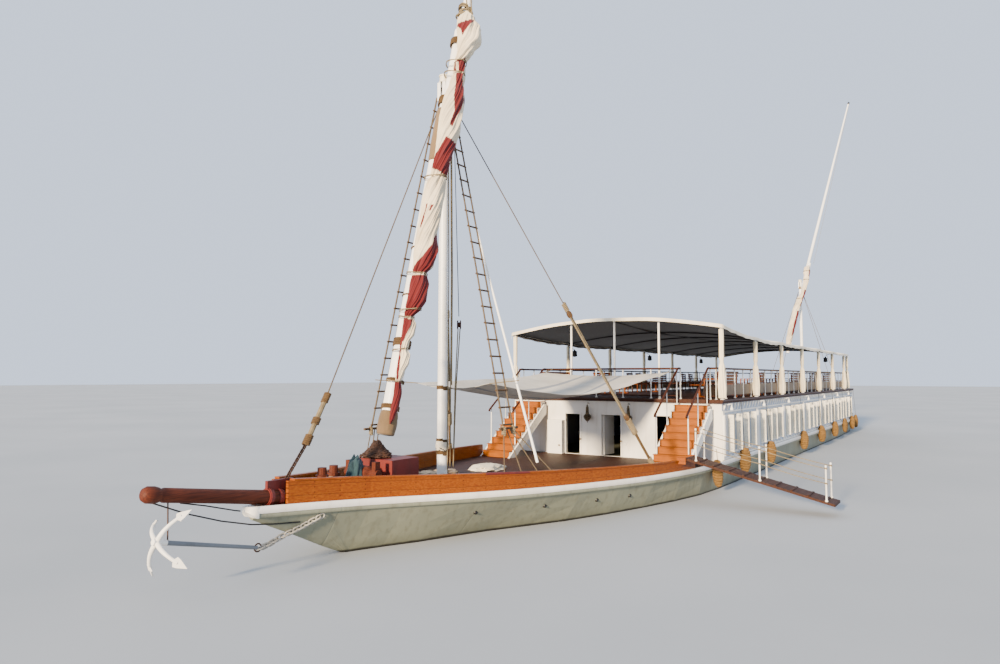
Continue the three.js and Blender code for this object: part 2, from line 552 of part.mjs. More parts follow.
const windowCentres = [];
for (let bay = 0; bay < WINDOW.count; bay += 1) {
  for (const offset of WINDOW.offsets) {
    const x = HOUSE.fore - bay * BAY - offset;
    if (x - WINDOW.wide / 2 > HOUSE.aft + 0.3) windowCentres.push(x);
  }
}
const windowHole = (x) => block(
  x - WINDOW.wide / 2, x + WINDOW.wide / 2, -WIDE, WIDE, WINDOW.low, WINDOW.high);
const HOUSE_SIDES = [
  ['house_port', inner, HOUSE.half],
  ['house_starboard', -HOUSE.half, -inner],
];
for (const [node, near, far] of HOUSE_SIDES) {
  const wall = block(sternFront + FIT, frontBack - FIT, near, far, floorLine, ceiling);
  add(node, cut(wall, grownHull, ...windowCentres.map(windowHole)), 'whitePaint');
}
const sternWall = block(HOUSE.aft, sternFront, -HOUSE.half, HOUSE.half, floorLine, ceiling);
const sternHole = block(HOUSE.aft - PAST, sternFront + PAST, -STERN_DOOR.half, STERN_DOOR.half,
  STERN_DOOR.low, STERN_DOOR.high);
add('house_stern', cut(sternWall, sternHole, grownHull), 'whitePaint');

// Doors of the front wall, standing open as they do on the boat; each is modelled closed about its hinge
for (const [node, opening, side, open] of DOORS) {
  const [low, high, sill, head] = FRONT_OPENINGS[opening];
  const bottomEdge = sill + RUN;
  const topEdge = head - RUN;
  const swing = side * (RUN - (high - low - RUN));
  const near = -side * RUN;
  const leaf = block(0, LEAF, Math.min(near, swing), Math.max(near, swing), bottomEdge, topEdge);
  const knuckle = bar(vec(0, 0, bottomEdge), vec(0, 0, topEdge), HINGE_PIN, HINGE_PIN, PIN_SIDES);
  const place = { at: [frontBack, side > 0 ? high : low, 0], turn: THREE.MathUtils.degToRad(open) };
  add(node, join(leaf, knuckle), 'whitePaint', place);
}

// Low locker against the front wall
const lockerBox = block(HOUSE.fore + FIT, HOUSE.fore + LOCKER.deep, LOCKER.starboard, LOCKER.port,
  deckHeight(HOUSE.fore) - SINK, LOCKER.top);
add('locker', cut(lockerBox, deckRoom), 'whitePaint');

// Wall lanterns beside the centre door
for (const [node, side] of [['wall_lantern_port', 1], ['wall_lantern_starboard', -1]]) {
  const y = side * LANTERN.y;
  const body = turned(vec(HOUSE.fore + LANTERN.out, y, LANTERN.low), UP, [
    [0, 0], [0, 0.015], [0.16, LANTERN.radius], [0.26, 0.09], [0.38, 0.04],
    [LANTERN.high, 0.02], [LANTERN.high, 0],
  ], 10);
  const hook = block(HOUSE.fore + FIT, HOUSE.fore + LANTERN.out + 0.01, y - 0.015, y + 0.015,
    LANTERN.low + LANTERN.hook, LANTERN.low + LANTERN.hook + 0.03);
  add(node, join(body, hook), 'bronze');
}

// Stairs to the upper deck: boards on the treads and risers, between two stringers
const rise = (HOUSE.roof - DECK.level) / STAIR.steps;
const tread = STAIR.run / (STAIR.steps - 1);
const stairFore = UPPER.fore + 2 * FIT;
const treadHeight = (k) => HOUSE.roof - rise * k;
function stairTop(x) {
  const step = Math.ceil((x - stairFore) / tread);
  return treadHeight(Math.min(Math.max(step, 1), STAIR.steps - 1));
}
function stair(y0, y1) {
  const ground = DECK.level - SINK;
  const upper = [[stairFore, treadHeight(1)]];
  const under = [[stairFore, treadHeight(1) - STAIR.board]];
  for (let k = 1; k < STAIR.steps; k += 1) {
    const nose = stairFore + tread * k;
    const last = k + 1 === STAIR.steps;
    upper.push([nose, treadHeight(k)], [nose, last ? ground : treadHeight(k + 1)]);
    under.push([nose - STAIR.board, treadHeight(k) - STAIR.board]);
    under.push([nose - STAIR.board, last ? ground : treadHeight(k + 1) - STAIR.board]);
  }
  const boards = across([...upper, ...under.reverse()], y0, y1);
  const foot = stairFore + STAIR.run;
  const head = stairFore + STAIR.head;
  const top = HOUSE.roof - STAIR.below;
  const side = [
    [head, top], [head + STAIR.foot, top], [foot + STAIR.foot, ground + STAIR.toe],
    [foot + STAIR.foot, ground], [foot - STAIR.heel, ground], [head, HOUSE.roof - STAIR.deep],
  ];
  const starboardStringer = across(side, y0 - STAIR.stringer, y0 + 0.01);
  const portStringer = across(side, y1 - 0.01, y1 + STAIR.stringer);
  return cut(join(boards, starboardStringer, portStringer), deckRoom);
}
add('stair_port', stair(STAIR.inner, STAIR.outer), 'varnish');
add('stair_starboard', stair(-STAIR.outer, -STAIR.inner), 'varnish');

// Upper deck and its rails
const upperDeck = block(UPPER.aft, UPPER.fore, -UPPER.half, UPPER.half, ceiling + FIT, HOUSE.roof);
add('upper_deck', upperDeck, 'deckPaint');
const railFore = HOUSE.fore - 0.05;
const railAft = UPPER.aft + 0.12;
const railTop = HOUSE.roof + RAIL.high;
const stairInner = STAIR.inner + 0.05;
const stairOuter = STAIR.outer - 0.06;

// A rail along points in plan: top and bottom tubes on stanchions
function railing(points) {
  const foot = HOUSE.roof + FIT;
  const lowLine = foot + RAIL.low;
  const pieces = [];
  for (let i = 0; i + 1 < points.length; i += 1) {
    const [x0, y0] = points[i];
    const [x1, y1] = points[i + 1];
    const spaces = Math.max(1, Math.round(Math.hypot(x1 - x0, y1 - y0) / RAIL.spacing));
    pieces.push(bar(vec(x0, y0, railTop), vec(x1, y1, railTop), RAIL.tube, RAIL.tube, 4));
    pieces.push(bar(vec(x0, y0, lowLine), vec(x1, y1, lowLine), RAIL.lowTube, RAIL.lowTube, 4));
    for (let k = i ? 1 : 0; k <= spaces; k += 1) {
      const x = x0 + (x1 - x0) * k / spaces;
      const y = y0 + (y1 - y0) * k / spaces;
      pieces.push(bar(vec(x, y, foot), vec(x, y, railTop), RAIL.post, RAIL.post, 4));
    }
  }
  return join(...pieces);
}

// A handrail down the stair, on a stanchion that stands on a step
function handrail(y) {
  const nose = vec(UPPER.fore + 0.02, y, railTop);
  const end = vec(nose.x + HANDRAIL.reach, y, nose.z - HANDRAIL.drop);
  const postX = end.x - 0.06;
  return join(
    bar(vec(railFore, y, railTop), nose, RAIL.tube, RAIL.tube, 4),
    bar(nose, end, RAIL.tube, RAIL.tube, 4),
    bar(vec(postX, y, stairTop(postX) + FIT), vec(postX, y, end.z + 0.05), HANDRAIL.post, HANDRAIL.post, 6));
}
const frontRail = railing([[railFore, -stairInner], [railFore, stairInner]]);
add('rail_front', join(frontRail, handrail(-stairInner), handrail(stairInner)), 'darkWood');
for (const [node, side] of [['rail_port', 1], ['rail_starboard', -1]]) {
  const run = railing([
    [railFore, side * stairOuter], [railFore, side * RAIL.line], [railAft, side * RAIL.line],
  ]);
  add(node, join(run, handrail(side * stairOuter)), 'darkWood');
}
add('rail_stern', railing([[railAft, -RAIL.line + 0.1], [railAft, RAIL.line - 0.1]]), 'darkWood');

// Awning: an arched canopy on rows of posts, with a curtain tied round each post
const awningBottom = (x) => AWNING.edge + 0.01 + AWNING.foreLift * Math.max(0, (x - AWNING_POSTS[1]) / BAY);
const archRow = (x, lower) => Array.from({ length: AWNING.steps + 1 }, (_, i) => {
  const turn = -1 + 2 * i / AWNING.steps;
  return [x, turn * AWNING.half, awningBottom(x) + AWNING.crown * (1 - turn ** 2) - lower];
});
const awningXs = [AWNING_ENDS[0], AWNING_POSTS[1], AWNING_ENDS[1]];
add('awning', sheet(awningXs.map((x) => archRow(x, 0)), AWNING.thick), 'canvas');
const awningRoom = sheet(awningXs.map((x) => archRow(x, FIT)), 1);
const curtain = (x, y) => turned(vec(x, y, HOUSE.roof + CURTAIN.low), UP, [
  [0, 0], [0, CURTAIN.tie], [CURTAIN.swell, CURTAIN.radius], [CURTAIN.long - 0.2, CURTAIN.radius * 0.8],
  [CURTAIN.long, CURTAIN.tie], [CURTAIN.long, 0],
], 6);
for (const [node, side] of [['awning_frame_port', 1], ['awning_frame_starboard', -1]]) {
  const y = side * AWNING_LINE;
  const beamAt = (x) => vec(x, y, awningBottom(x) - 0.05);
  const posts = AWNING_POSTS.map((x) => bar(vec(x, y, HOUSE.roof + FIT), vec(x, y, awningBottom(x) + 0.1),
    AWNING.post, AWNING.post, 6));
  const beams = AWNING_POSTS.slice(1).map(
    (x, i) => bar(beamAt(AWNING_POSTS[i]), beamAt(x), AWNING.beam, AWNING.beam, 4));
  const frame = join(...posts, ...beams, ...AWNING_POSTS.map((x) => curtain(x, y)));
  add(node, cut(frame, awningRoom), 'whitePaint');
}

// Foredeck shade, tied to the front rail
const shadeRow = (row) => {
  const share = row / SHADE.rows;
  const sway = Math.sin(Math.PI * share);
  const half = SHADE.aftHalf + (SHADE.foreHalf - SHADE.aftHalf) * share - SHADE.waist * sway;
  const edge = SHADE.aftZ + (SHADE.foreZ - SHADE.aftZ) * share;
  return Array.from({ length: SHADE.columns + 1 }, (_, i) => {
    const turn = -1 + 2 * i / SHADE.columns;
    const drop = SHADE.sag * sway * (1 - 0.45 * turn ** 2) + SHADE.hollow * (1 - turn ** 2);
    const height = edge - drop - SHADE.tilt * turn * sway;
    return [SHADE.aft + (SHADE.fore - SHADE.aft) * share, turn * half, height];
  });
};
const shadeRows = Array.from({ length: SHADE.rows + 1 }, (_, row) => shadeRow(row));
function shadeTie(side) {
  const y = side * (SHADE.aftHalf - 0.05);
  return bar(vec(SHADE.aft + 0.03, y, SHADE.aftZ + 0.01), vec(railFore, y, railTop), 0.012, 0.012, 6);
}
const frontRailRoom = bar(vec(railFore, -stairInner, railTop), vec(railFore, stairInner, railTop),
  RAIL.tube + 1.5 * FIT, RAIL.tube + 1.5 * FIT, 4);
const shade = join(sheet(shadeRows, SHADE.thick), shadeTie(1), shadeTie(-1));
add('foredeck_shade', cut(shade, frontRailRoom), 'canvas');

// Masts, each with a caulked foot on the deck and a capped head
const MAST_SIDES = 16;
function mastShape(mast, grow) {
  const foot = deckHeight(mast.x) - SINK;
  const top = mast.top - foot;
  const cap = mast.topR + MAST_CAP.out + grow;
  return turned(vec(mast.x, 0, foot), UP, [
    [0, 0], [0, mast.footR + 0.03 + grow], [0.12, mast.footR + grow],
    [top - MAST_CAP.from, mast.topR + grow], [top - MAST_CAP.from + SINK, cap],
    [top - MAST_CAP.chamfer, cap], [top, mast.topR - 0.02 + grow], [top, 0],
  ], MAST_SIDES);
}
function mastRadius(mast, z) {
  const foot = deckHeight(mast.x) + 0.12;
  return mast.footR + (mast.topR - mast.footR) * (z - foot) / (mast.top - MAST_CAP.from - foot);
}
add('main_mast', cut(mastShape(MAIN, 0), deckRoom), 'whitePaint');
add('mizzen_mast', cut(mastShape(MIZZEN, 0), deckRoom), 'whitePaint');

// A lateen yard's own directions: up along the spar, and out from the mast along its hinge
function yardFrame(yard) {
  const heading = Math.atan2(yard.out, -yard.aft);
  const side = vec(Math.sin(heading), -Math.cos(heading), 0);
  return { sling: vec(yard.x, yard.y, yard.z), up: vec(-yard.aft, yard.out, yard.up).normalize(), side };
}
const onYard = (frame, distance, out = 0) => frame.sling.clone()
  .addScaledVector(frame.up, distance).addScaledVector(frame.side, out);

// The collar that holds a yard to its mast ends in a pin in the yard's bore
function sling(mast, frame) {
  const z = frame.sling.z;
  const onMast = (height) => vec(mast.x, 0, z + height);
  const radius = mastRadius(mast, z) + 2 * FIT;
  const head = onYard(frame, 0, -SLING.head);
  const ring = radius + SLING.collar;
  const collar = bar(onMast(-SLING.half), onMast(SLING.half), ring, ring, MAST_SIDES);
  const arm = bar(onMast(0).lerp(head, 0.3), head, SLING.collar, SLING.collar, 10);
  const pin = bar(head, onYard(frame, 0, -SLING.seat), SLING.pin, SLING.pin, PIN_SIDES);
  return cut(join(collar, arm, pin), bar(onMast(-1), onMast(1), radius, radius, MAST_SIDES));
}
const slingBore = turningBore(SLING.pin, PIN_SIDES);
const bore = (frame) => bar(onYard(frame, 0, -0.5), onYard(frame, 0, -SLING.seat + FIT),
  slingBore, slingBore, PIN_SIDES);
function spar(yard, frame, grow) {
  const length = yard.below + yard.above;
  return turned(onYard(frame, -yard.below), frame.up, [
    [-grow, 0], [-grow, yard.footR * 0.8 + grow], [0.25, yard.footR + grow], [yard.below, yard.slingR + grow],
    [yard.below + yard.above * 0.45, yard.slingR * 0.75 + grow], [length, yard.tipR + grow], [length, 0],
  ], 12);
}
function furled(sail, frame) {
  const length = sail.to - sail.from;
  return turned(onYard(frame, sail.from, sail.side), frame.up, [
    [0, 0], [0, 0.06], [length * 0.1, sail.radius * 0.7], [length * 0.3, sail.radius],
    [length * 0.7, sail.radius * 0.95], [length * 0.83, sail.radius * 0.8],
    [length * 0.94, sail.radius * sail.head], [length, 0.06], [length, 0],
  ]);
}
const RIGS = [
  ['main', MAIN, MAIN_YARD, MAIN_SAIL],
  ['mizzen', MIZZEN, MIZZEN_YARD, MIZZEN_SAIL],
];
for (const [name, mast, yard, sail] of RIGS) {
  const frame = yardFrame(yard);
  add(`${name}_sling`, sling(mast, frame), 'rope');
  add(`${name}_yard`, cut(spar(yard, frame, 0), bore(frame)), 'whitePaint');
  add(`${name}_sail`, cut(furled(sail, frame), spar(yard, frame, 2 * FIT)), 'sailcloth');
}

// Shrouds with rungs beside the main mast
const railRoom = heightBand(bottom, (x) => bulwarkTop(x) + FIT, BULWARK.aft, BULWARK.fore);
const sternRoom = heightBand(bottom, (x) => sternTop(x) + FIT, hullAft, STERN_BULWARK.fore);
const chainplate = (x, side, top) => vec(x, side * (deckHalf(x) - CHAINPLATE), top(x) - SINK);
const besideMast = (mast, z) => mastRadius(mast, z) + ROPE + FIT;
function shroudLadder({ side, head, out, feet }) {
  const y = side * (out || besideMast(MAIN, head));
  const legs = feet.map((x, i) => [
    vec(MAIN.x + SHROUD.spread * (i ? -1 : 1), y, head), chainplate(x, side, bulwarkTop)]);
  const pieces = legs.map(([from, to]) => bar(from, to, ROPE, ROPE, 4));
  if (out) {
    pieces.push(block(MAIN.x - SHROUD.armWide, MAIN.x + SHROUD.armWide, 0, out + SHROUD.arm,
      head - SHROUD.arm, head + SHROUD.arm));
  }
  for (let k = 1; k <= SHROUD.rungs; k += 1) {
    const share = SHROUD.first + (SHROUD.last - SHROUD.first) * k / SHROUD.rungs;
    const [fore, aft] = legs.map(([from, to]) => from.clone().lerp(to, share));
    const past = fore.clone().sub(aft).multiplyScalar(SHROUD.past);
    pieces.push(bar(fore.clone().add(past), aft.clone().sub(past), SHROUD.rung, SHROUD.rung, 4));
  }
  return cut(join(...pieces), railRoom, mastShape(MAIN, FIT));
}
add('shrouds_port', shroudLadder(SHROUDS.port), 'rope');
add('shrouds_starboard', shroudLadder(SHROUDS.starboard), 'rope');

// Stays of both masts
const stayFoot = vec(FORESTAY.footX, 0, STAY_IRON.top - SINK);
const forestay = bar(vec(MAIN.x, 0, FORESTAY.head), stayFoot, ROPE, ROPE, 6);
add('forestay', cut(forestay, mastShape(MAIN, FIT), stayPlate(FIT)), 'rope');
function backstay(side) {
  const r = besideMast(MAIN, BACKSTAY.head) * Math.SQRT1_2;
  const head = vec(MAIN.x - r, side * r, BACKSTAY.head);
  const foot = chainplate(BACKSTAY.footX, side, bulwarkTop);
  const way = foot.clone().sub(head).normalize();
  const upper = head.clone().lerp(foot, BACKSTAY.upper);
  const lower = foot.clone().addScaledVector(way, -BACKSTAY.lower);
  const beside = (point, x) => point.clone().add(vec(x, 0, 0));
  const falls = [-BACKSTAY.spread, BACKSTAY.spread].map(
    (x) => bar(beside(upper, x), beside(lower, x), ROPE, ROPE, 6));
  const blockFrom = (at) => at.clone().addScaledVector(way, -BACKSTAY.blockHalf);
  const blocks = [upper, lower].map((at) => turned(blockFrom(at), way, [
    [0, 0], [0, 0.03], [0.08, BACKSTAY.block], [2 * BACKSTAY.blockHalf - 0.08, BACKSTAY.block],
    [2 * BACKSTAY.blockHalf, 0.03], [2 * BACKSTAY.blockHalf, 0],
  ], 8));
  const ends = [bar(head, upper, ROPE, ROPE, 6), bar(lower, foot, ROPE, ROPE, 6)];
  return cut(join(...ends, ...falls, ...blocks), railRoom);
}
add('backstay_port', backstay(1), 'rope');
add('backstay_starboard', backstay(-1), 'rope');
function mizzenStays(side) {
  const head = vec(MIZZEN.x, side * besideMast(MIZZEN, MIZZEN_STAYS.head), MIZZEN_STAYS.head);
  const thin = ROPE * 0.8;
  const legs = MIZZEN_STAYS.feet.map((x) => bar(head, chainplate(x, side, sternTop), thin, thin, 6));
  return cut(join(...legs), sternRoom);
}
add('mizzen_stays_port', mizzenStays(1), 'rope');
add('mizzen_stays_starboard', mizzenStays(-1), 'rope');

// Gangway: cleated boards hung on the pin at the bulwark, sloping down to the bank
const gangwayHeight = (out) => GANGWAY.z - GANGWAY.drop * out / GANGWAY.reach;
const gangwayBand = (from, to, low, high, x0, x1) => lengthwise([
  [GANGWAY.y + from, gangwayHeight(from) + low], [GANGWAY.y + to, gangwayHeight(to) + low],
  [GANGWAY.y + to, gangwayHeight(to) + high], [GANGWAY.y + from, gangwayHeight(from) + high],
], x0, x1);
const boards = gangwayBand(0, GANGWAY.reach, -GANGWAY.half, GANGWAY.half, GANGWAY.aft, GANGWAY.fore);
const cleats = Array.from({ length: GANGWAY.cleats }, (_, k) => {
  const out = 0.35 + k * GANGWAY.cleatStep;
  return gangwayBand(out, out + GANGWAY.cleatWide, 0, GANGWAY.half + GANGWAY.cleatHigh,
    GANGWAY.aft + 0.03, GANGWAY.fore - 0.03);
});
const gangwayPosts = [GANGWAY.aft + 0.04, GANGWAY.fore - 0.04].flatMap((x) => GANGWAY.posts.map((out) => {
  const foot = vec(x, GANGWAY.y + out, gangwayHeight(out));
  return bar(foot, foot.clone().addScaledVector(UP, GANGWAY.postHigh), GANGWAY.postR, GANGWAY.postR, 6);
}));
const gangwayKnuckle = gangwayBar(GANGWAY.aft, GANGWAY.fore, GANGWAY.knuckle);
const gangway = join(boards, gangwayKnuckle, ...cleats, ...gangwayPosts);
const gangwayBore = gangwayBar(GANGWAY.aft - 1, GANGWAY.fore + 1, turningBore(GANGWAY.pin, PIN_SIDES));
add('gangway', cut(gangway, gangwayBore), 'deckPaint');

export default boat;
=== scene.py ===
# Looks of the dahabiya: finishes, cloth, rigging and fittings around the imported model.
# Sizes below are metres of the real boat; SCALE brings them to the 1:2 model's metres.
# x runs forward, y to port, z up from the waterline.
import math
import random

import bpy
from mathutils import Matrix, Quaternion, Vector, noise
from mathutils.bvhtree import BVHTree


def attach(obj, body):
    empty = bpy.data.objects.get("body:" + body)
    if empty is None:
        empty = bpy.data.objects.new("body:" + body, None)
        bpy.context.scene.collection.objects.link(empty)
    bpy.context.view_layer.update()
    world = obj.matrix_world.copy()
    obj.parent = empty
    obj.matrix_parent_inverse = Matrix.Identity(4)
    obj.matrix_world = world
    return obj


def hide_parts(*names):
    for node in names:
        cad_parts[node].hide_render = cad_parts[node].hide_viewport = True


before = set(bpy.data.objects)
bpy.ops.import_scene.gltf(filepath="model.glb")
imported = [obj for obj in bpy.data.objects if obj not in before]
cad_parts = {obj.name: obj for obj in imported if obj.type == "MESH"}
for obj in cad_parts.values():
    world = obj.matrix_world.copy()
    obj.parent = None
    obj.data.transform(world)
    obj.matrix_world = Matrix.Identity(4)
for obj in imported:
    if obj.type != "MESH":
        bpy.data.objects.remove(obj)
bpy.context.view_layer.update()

SCALE = 0.5
SIDES = {"port": 1, "starboard": -1}

# Camera and light
CAMERA = {"at": (16.752, 5.322, 1.75), "yaw": 34.136, "pitch": 3.672, "roll": 0.08, "lens": 25.2}
SUN = {"azimuth": 2.0, "height": 13.0, "strength": 13.0, "colour": "ffe4be", "spread": 5.0}
SKY = {"colour": "c6d3e8", "strength": 1.75}
FLOOR = {"half": 150.0, "colour": "a9aeb2", "patch": "9fa5aa"}


def rgb(code):
    """Linear colour of an sRGB hex code."""
    values = [int(code[i:i + 2], 16) / 255 for i in (0, 2, 4)]
    return [v / 12.92 if v <= 0.04045 else ((v + 0.055) / 1.055) ** 2.4 for v in values]


def rgba(code):
    return (*rgb(code), 1.0)


def add_node(tree, kind, inputs=(), **settings):
    """One node with its settings, and its inputs set or linked."""
    made = tree.nodes.new(kind)
    for name, value in settings.items():
        setattr(made, name, value)
    for key, value in dict(inputs).items():
        if isinstance(value, bpy.types.NodeSocket):
            tree.links.new(value, made.inputs[key])
        else:
            made.inputs[key].default_value = value
    return made


# Finishes
def new_finish(name, **values):
    """An empty material: its tree, its shader and the piece's own coordinates."""
    material = bpy.data.materials.new(name)
    material.use_nodes = True
    tree = material.node_tree
    tree.nodes.clear()
    inputs = {key.replace("_", " "): value for key, value in values.items()}
    shader = add_node(tree, "ShaderNodeBsdfPrincipled", inputs)
    add_node(tree, "ShaderNodeOutputMaterial", {"Surface": shader.outputs[0]})
    return material, tree, shader, add_node(tree, "ShaderNodeTexCoord").outputs["Object"]


def per_mm(size):
    """Texture scale for a feature of that many millimetres on the real boat."""
    return 1000.0 / (size * SCALE)


def blotches(tree, place, size, low=0.35, high=0.65, stretch=(1, 1, 1), detail=5.0):
    """Soft patches from 0 to 1, of a real size in millimetres."""
    spread = add_node(tree, "ShaderNodeMapping", {"Vector": place, "Scale": stretch}).outputs[0]
    cloud = add_node(tree, "ShaderNodeTexNoise", {"Vector": spread, "Scale": per_mm(size), "Detail": detail})
    return add_node(tree, "ShaderNodeMapRange",
                    {"Value": cloud.outputs["Fac"], "From Min": low, "From Max": high}).outputs[0]


def blend(tree, share, first, second):
    """Colour between two others; each is a hex code or a socket."""
    ends = [rgba(c) if isinstance(c, str) else c for c in (first, second)]
    return add_node(tree, "ShaderNodeMix", {0: share, 6: ends[0], 7: ends[1]}, data_type="RGBA").outputs[2]


def scaled(tree, value, factor):
    return add_node(tree, "ShaderNodeMath", {0: value, 1: factor}, operation="MULTIPLY").outputs[0]


def relief(tree, shader, height, depth, strength):
    """Bump of a depth in millimetres of the real boat."""
    bump = add_node(tree, "ShaderNodeBump",
                    {"Height": height, "Distance": depth / 1000 * SCALE, "Strength": strength})
    tree.links.new(bump.outputs[0], shader.inputs["Normal"])


# Brushed alkyd paint: satin, faintly uneven from the brush, with grime in soft patches
def paint(name, colour, grime, gloss, share, brush=60.0):
    material, tree, shader, place = new_finish(name, Roughness=gloss)
    patches = blotches(tree, place, 900, 0.42, 0.75)
    drips = blotches(tree, place, 160, 0.52, 0.8, (1, 1, 0.12))
    both = add_node(tree, "ShaderNodeMath", {0: patches, 1: drips}, operation="ADD").outputs[0]
    tree.links.new(blend(tree, scaled(tree, both, share), colour, grime), shader.inputs["Base Color"])
    relief(tree, shader, blotches(tree, place, brush, 0.2, 0.8), 3.0, 0.5)
    return material


# Planked timber: seams between boards, each board a little lighter or darker, grain along it
def timber(name, pale, dark, seam, gloss, board, across, along, seam_wide, coat=0.0, bulwark=False):
    material, tree, shader, place = new_finish(name, Roughness=gloss, Coat_Weight=coat, Coat_Roughness=0.2,
                                               Specular_IOR_Level=0.18)
    axes = add_node(tree, "ShaderNodeSeparateXYZ", {0: place}).outputs
    position = axes[across]
    if bulwark:
        # Its boards follow the deck's rise towards the bow
        forward = add_node(tree, "ShaderNodeMath", {0: axes["X"], 1: 5.5}, operation="SUBTRACT").outputs[0]
        square = add_node(tree, "ShaderNodeMath", {0: forward, 1: 2.0}, operation="POWER").outputs[0]
        position = add_node(tree, "ShaderNodeMath", {0: square, 1: -0.0039, 2: position},
                            operation="MULTIPLY_ADD").outputs[0]
    width = board / 1000 * SCALE
    number = add_node(tree, "ShaderNodeMath",
                      {0: scaled(tree, position, 1 / width)}, operation="FLOOR").outputs[0]
    tone = add_node(tree, "ShaderNodeTexWhiteNoise", {"W": number}, noise_dimensions="1D").outputs["Value"]
    edge = add_node(tree, "ShaderNodeMath", {0: position, 1: width / 2}, operation="PINGPONG").outputs[0]
    gap = add_node(tree, "ShaderNodeMapRange", {
        "Value": edge, "From Min": 0.0, "From Max": seam_wide / 1000 * SCALE, "To Min": 1.0, "To Max": 0.0,
    }).outputs[0]
    fibre = {"X": (0.04, 1, 1), "Y": (1, 0.04, 1), "Z": (1, 1, 0.04)}[along]
    grain = blotches(tree, place, 22, 0.3, 0.7, fibre)
    worn = blotches(tree, place, 700, 0.45, 0.75)
    wood = blend(tree, grain, pale, dark)
    wood = blend(tree, scaled(tree, tone, 0.3), wood, dark)
    wood = blend(tree, scaled(tree, worn, 0.35), wood, dark)
    wood = blend(tree, scaled(tree, gap, 0.7), wood, seam)
    if bulwark:
        # Dark heads of nails, two to a board every half metre
        row = add_node(tree, "ShaderNodeMath", {0: axes["X"], 1: 0.125}, operation="PINGPONG").outputs[0]
        spot = add_node(tree, "ShaderNodeMath", {0: edge, 1: width / 4}, operation="SUBTRACT").outputs[0]
        point = add_node(tree, "ShaderNodeCombineXYZ", {"X": row, "Y": spot}).outputs[0]
        away = add_node(tree, "ShaderNodeVectorMath", {0: point}, operation="LENGTH").outputs["Value"]
        head = add_node(tree, "ShaderNodeMapRange", {
            "Value": away, "From Min": 0.004, "From Max": 0.008,
            "To Min": 1.0, "To Max": 0.0}).outputs[0]
        wood = blend(tree, scaled(tree, head, 0.8), wood, seam)
    tree.links.new(wood, shader.inputs["Base Color"])
    height = add_node(tree, "ShaderNodeMath", {0: gap, 1: -2.0, 2: grain},
                      operation="MULTIPLY_ADD").outputs[0]
    relief(tree, shader, height, 3.0, 0.6)
    return material


# Woven cotton canvas: matt, a weave of crossing threads, drawn as coarse as it needs to show, with painted
# shade on its underside if one is given
def cloth(name, colour, shade, thread, underside_shade=None, stripes=None, dyed=None, fold=0.5):
    material, tree, shader, place = new_finish(name, Roughness=0.92, Sheen_Weight=0.15)
    axes = add_node(tree, "ShaderNodeSeparateXYZ", {0: place}).outputs
    threads = {"Vector": place, "Scale": per_mm(thread) / 6.28, "Distortion": 1.0}
    waves = [add_node(tree, "ShaderNodeTexWave", threads, bands_direction=way).outputs["Fac"]
             for way in ("X", "Y", "Z")]
    pair = add_node(tree, "ShaderNodeMath", {0: waves[0], 1: waves[1]}, operation="MULTIPLY").outputs[0]
    weave = add_node(tree, "ShaderNodeMath", {0: pair, 1: waves[2]}, operation="ADD").outputs[0]
    soil = blotches(tree, place, 700, 0.4, 0.72)
    tone = blend(tree, scaled(tree, soil, fold), colour, shade)
    if stripes:
        # Two bands along the cloth, at these distances from the centreline
        for middle, half in stripes["bands"]:
            band = add_node(tree, "ShaderNodeMath", {0: axes["Y"], 1: middle * SCALE, 2: half * SCALE},
                            operation="COMPARE").outputs[0]
            tone = blend(tree, scaled(tree, band, 0.85), tone, stripes["colour"])
    if dyed:
        # Dyed panels, marked on the mesh
        mark = add_node(tree, "ShaderNodeAttribute", attribute_name="dye").outputs["Fac"]
        tone = blend(tree, mark, tone, dyed)
    # Faces turned downwards take the last colour: painted shade on the cloth's underside
    if underside_shade:
        normal = add_node(tree, "ShaderNodeNewGeometry").outputs["Normal"]
        up = add_node(tree, "ShaderNodeSeparateXYZ", {0: normal}).outputs["Z"]
        under = add_node(tree, "ShaderNodeMath", {0: up, 1: -0.2}, operation="LESS_THAN").outputs[0]
        tone = blend(tree, under, tone, underside_shade)
    tree.links.new(tone, shader.inputs["Base Color"])
    relief(tree, shader, weave, 2.0, 0.35)
    return material


# Laid rope: three strands twisted round each other, hairy and matt, with painted shade in the grooves between
# them
def rope(name, colour, dark, pitch=60.0):
    material, tree, shader, place = new_finish(name, Roughness=0.95)
    along = add_node(tree, "ShaderNodeUVMap", uv_map="strand").outputs[0]
    parts = add_node(tree, "ShaderNodeSeparateXYZ", {0: along}).outputs
    turns = add_node(tree, "ShaderNodeMath", {0: parts["X"], 1: per_mm(pitch), 2: parts["Y"]},
                     operation="MULTIPLY_ADD").outputs[0]
    angle = scaled(tree, turns, 3 * 2 * math.pi)
    lay = add_node(tree, "ShaderNodeMath", {0: angle}, operation="SINE").outputs[0]
    # The grooves between the strands are darkened: painted shade
    groove_shade = add_node(tree, "ShaderNodeMapRange", {
        "Value": lay, "From Min": -1.0, "From Max": 0.2, "To Min": 1.0, "To Max": 0.0}).outputs[0]
    fuzz = blotches(tree, place, 120, 0.3, 0.7)
    tone = blend(tree, scaled(tree, fuzz, 0.6), colour, dark)
    tree.links.new(blend(tree, scaled(tree, groove_shade, 0.6), tone, dark), shader.inputs["Base Color"])
    relief(tree, shader, lay, 6.0, 0.6)
    return material


# A plain material whose colour drifts between two in soft patches
def mottled(name, colour, other, size, **values):
    material, tree, shader, place = new_finish(name, **values)
    tree.links.new(blend(tree, blotches(tree, place, size), colour, other), shader.inputs["Base Color"])
    return material


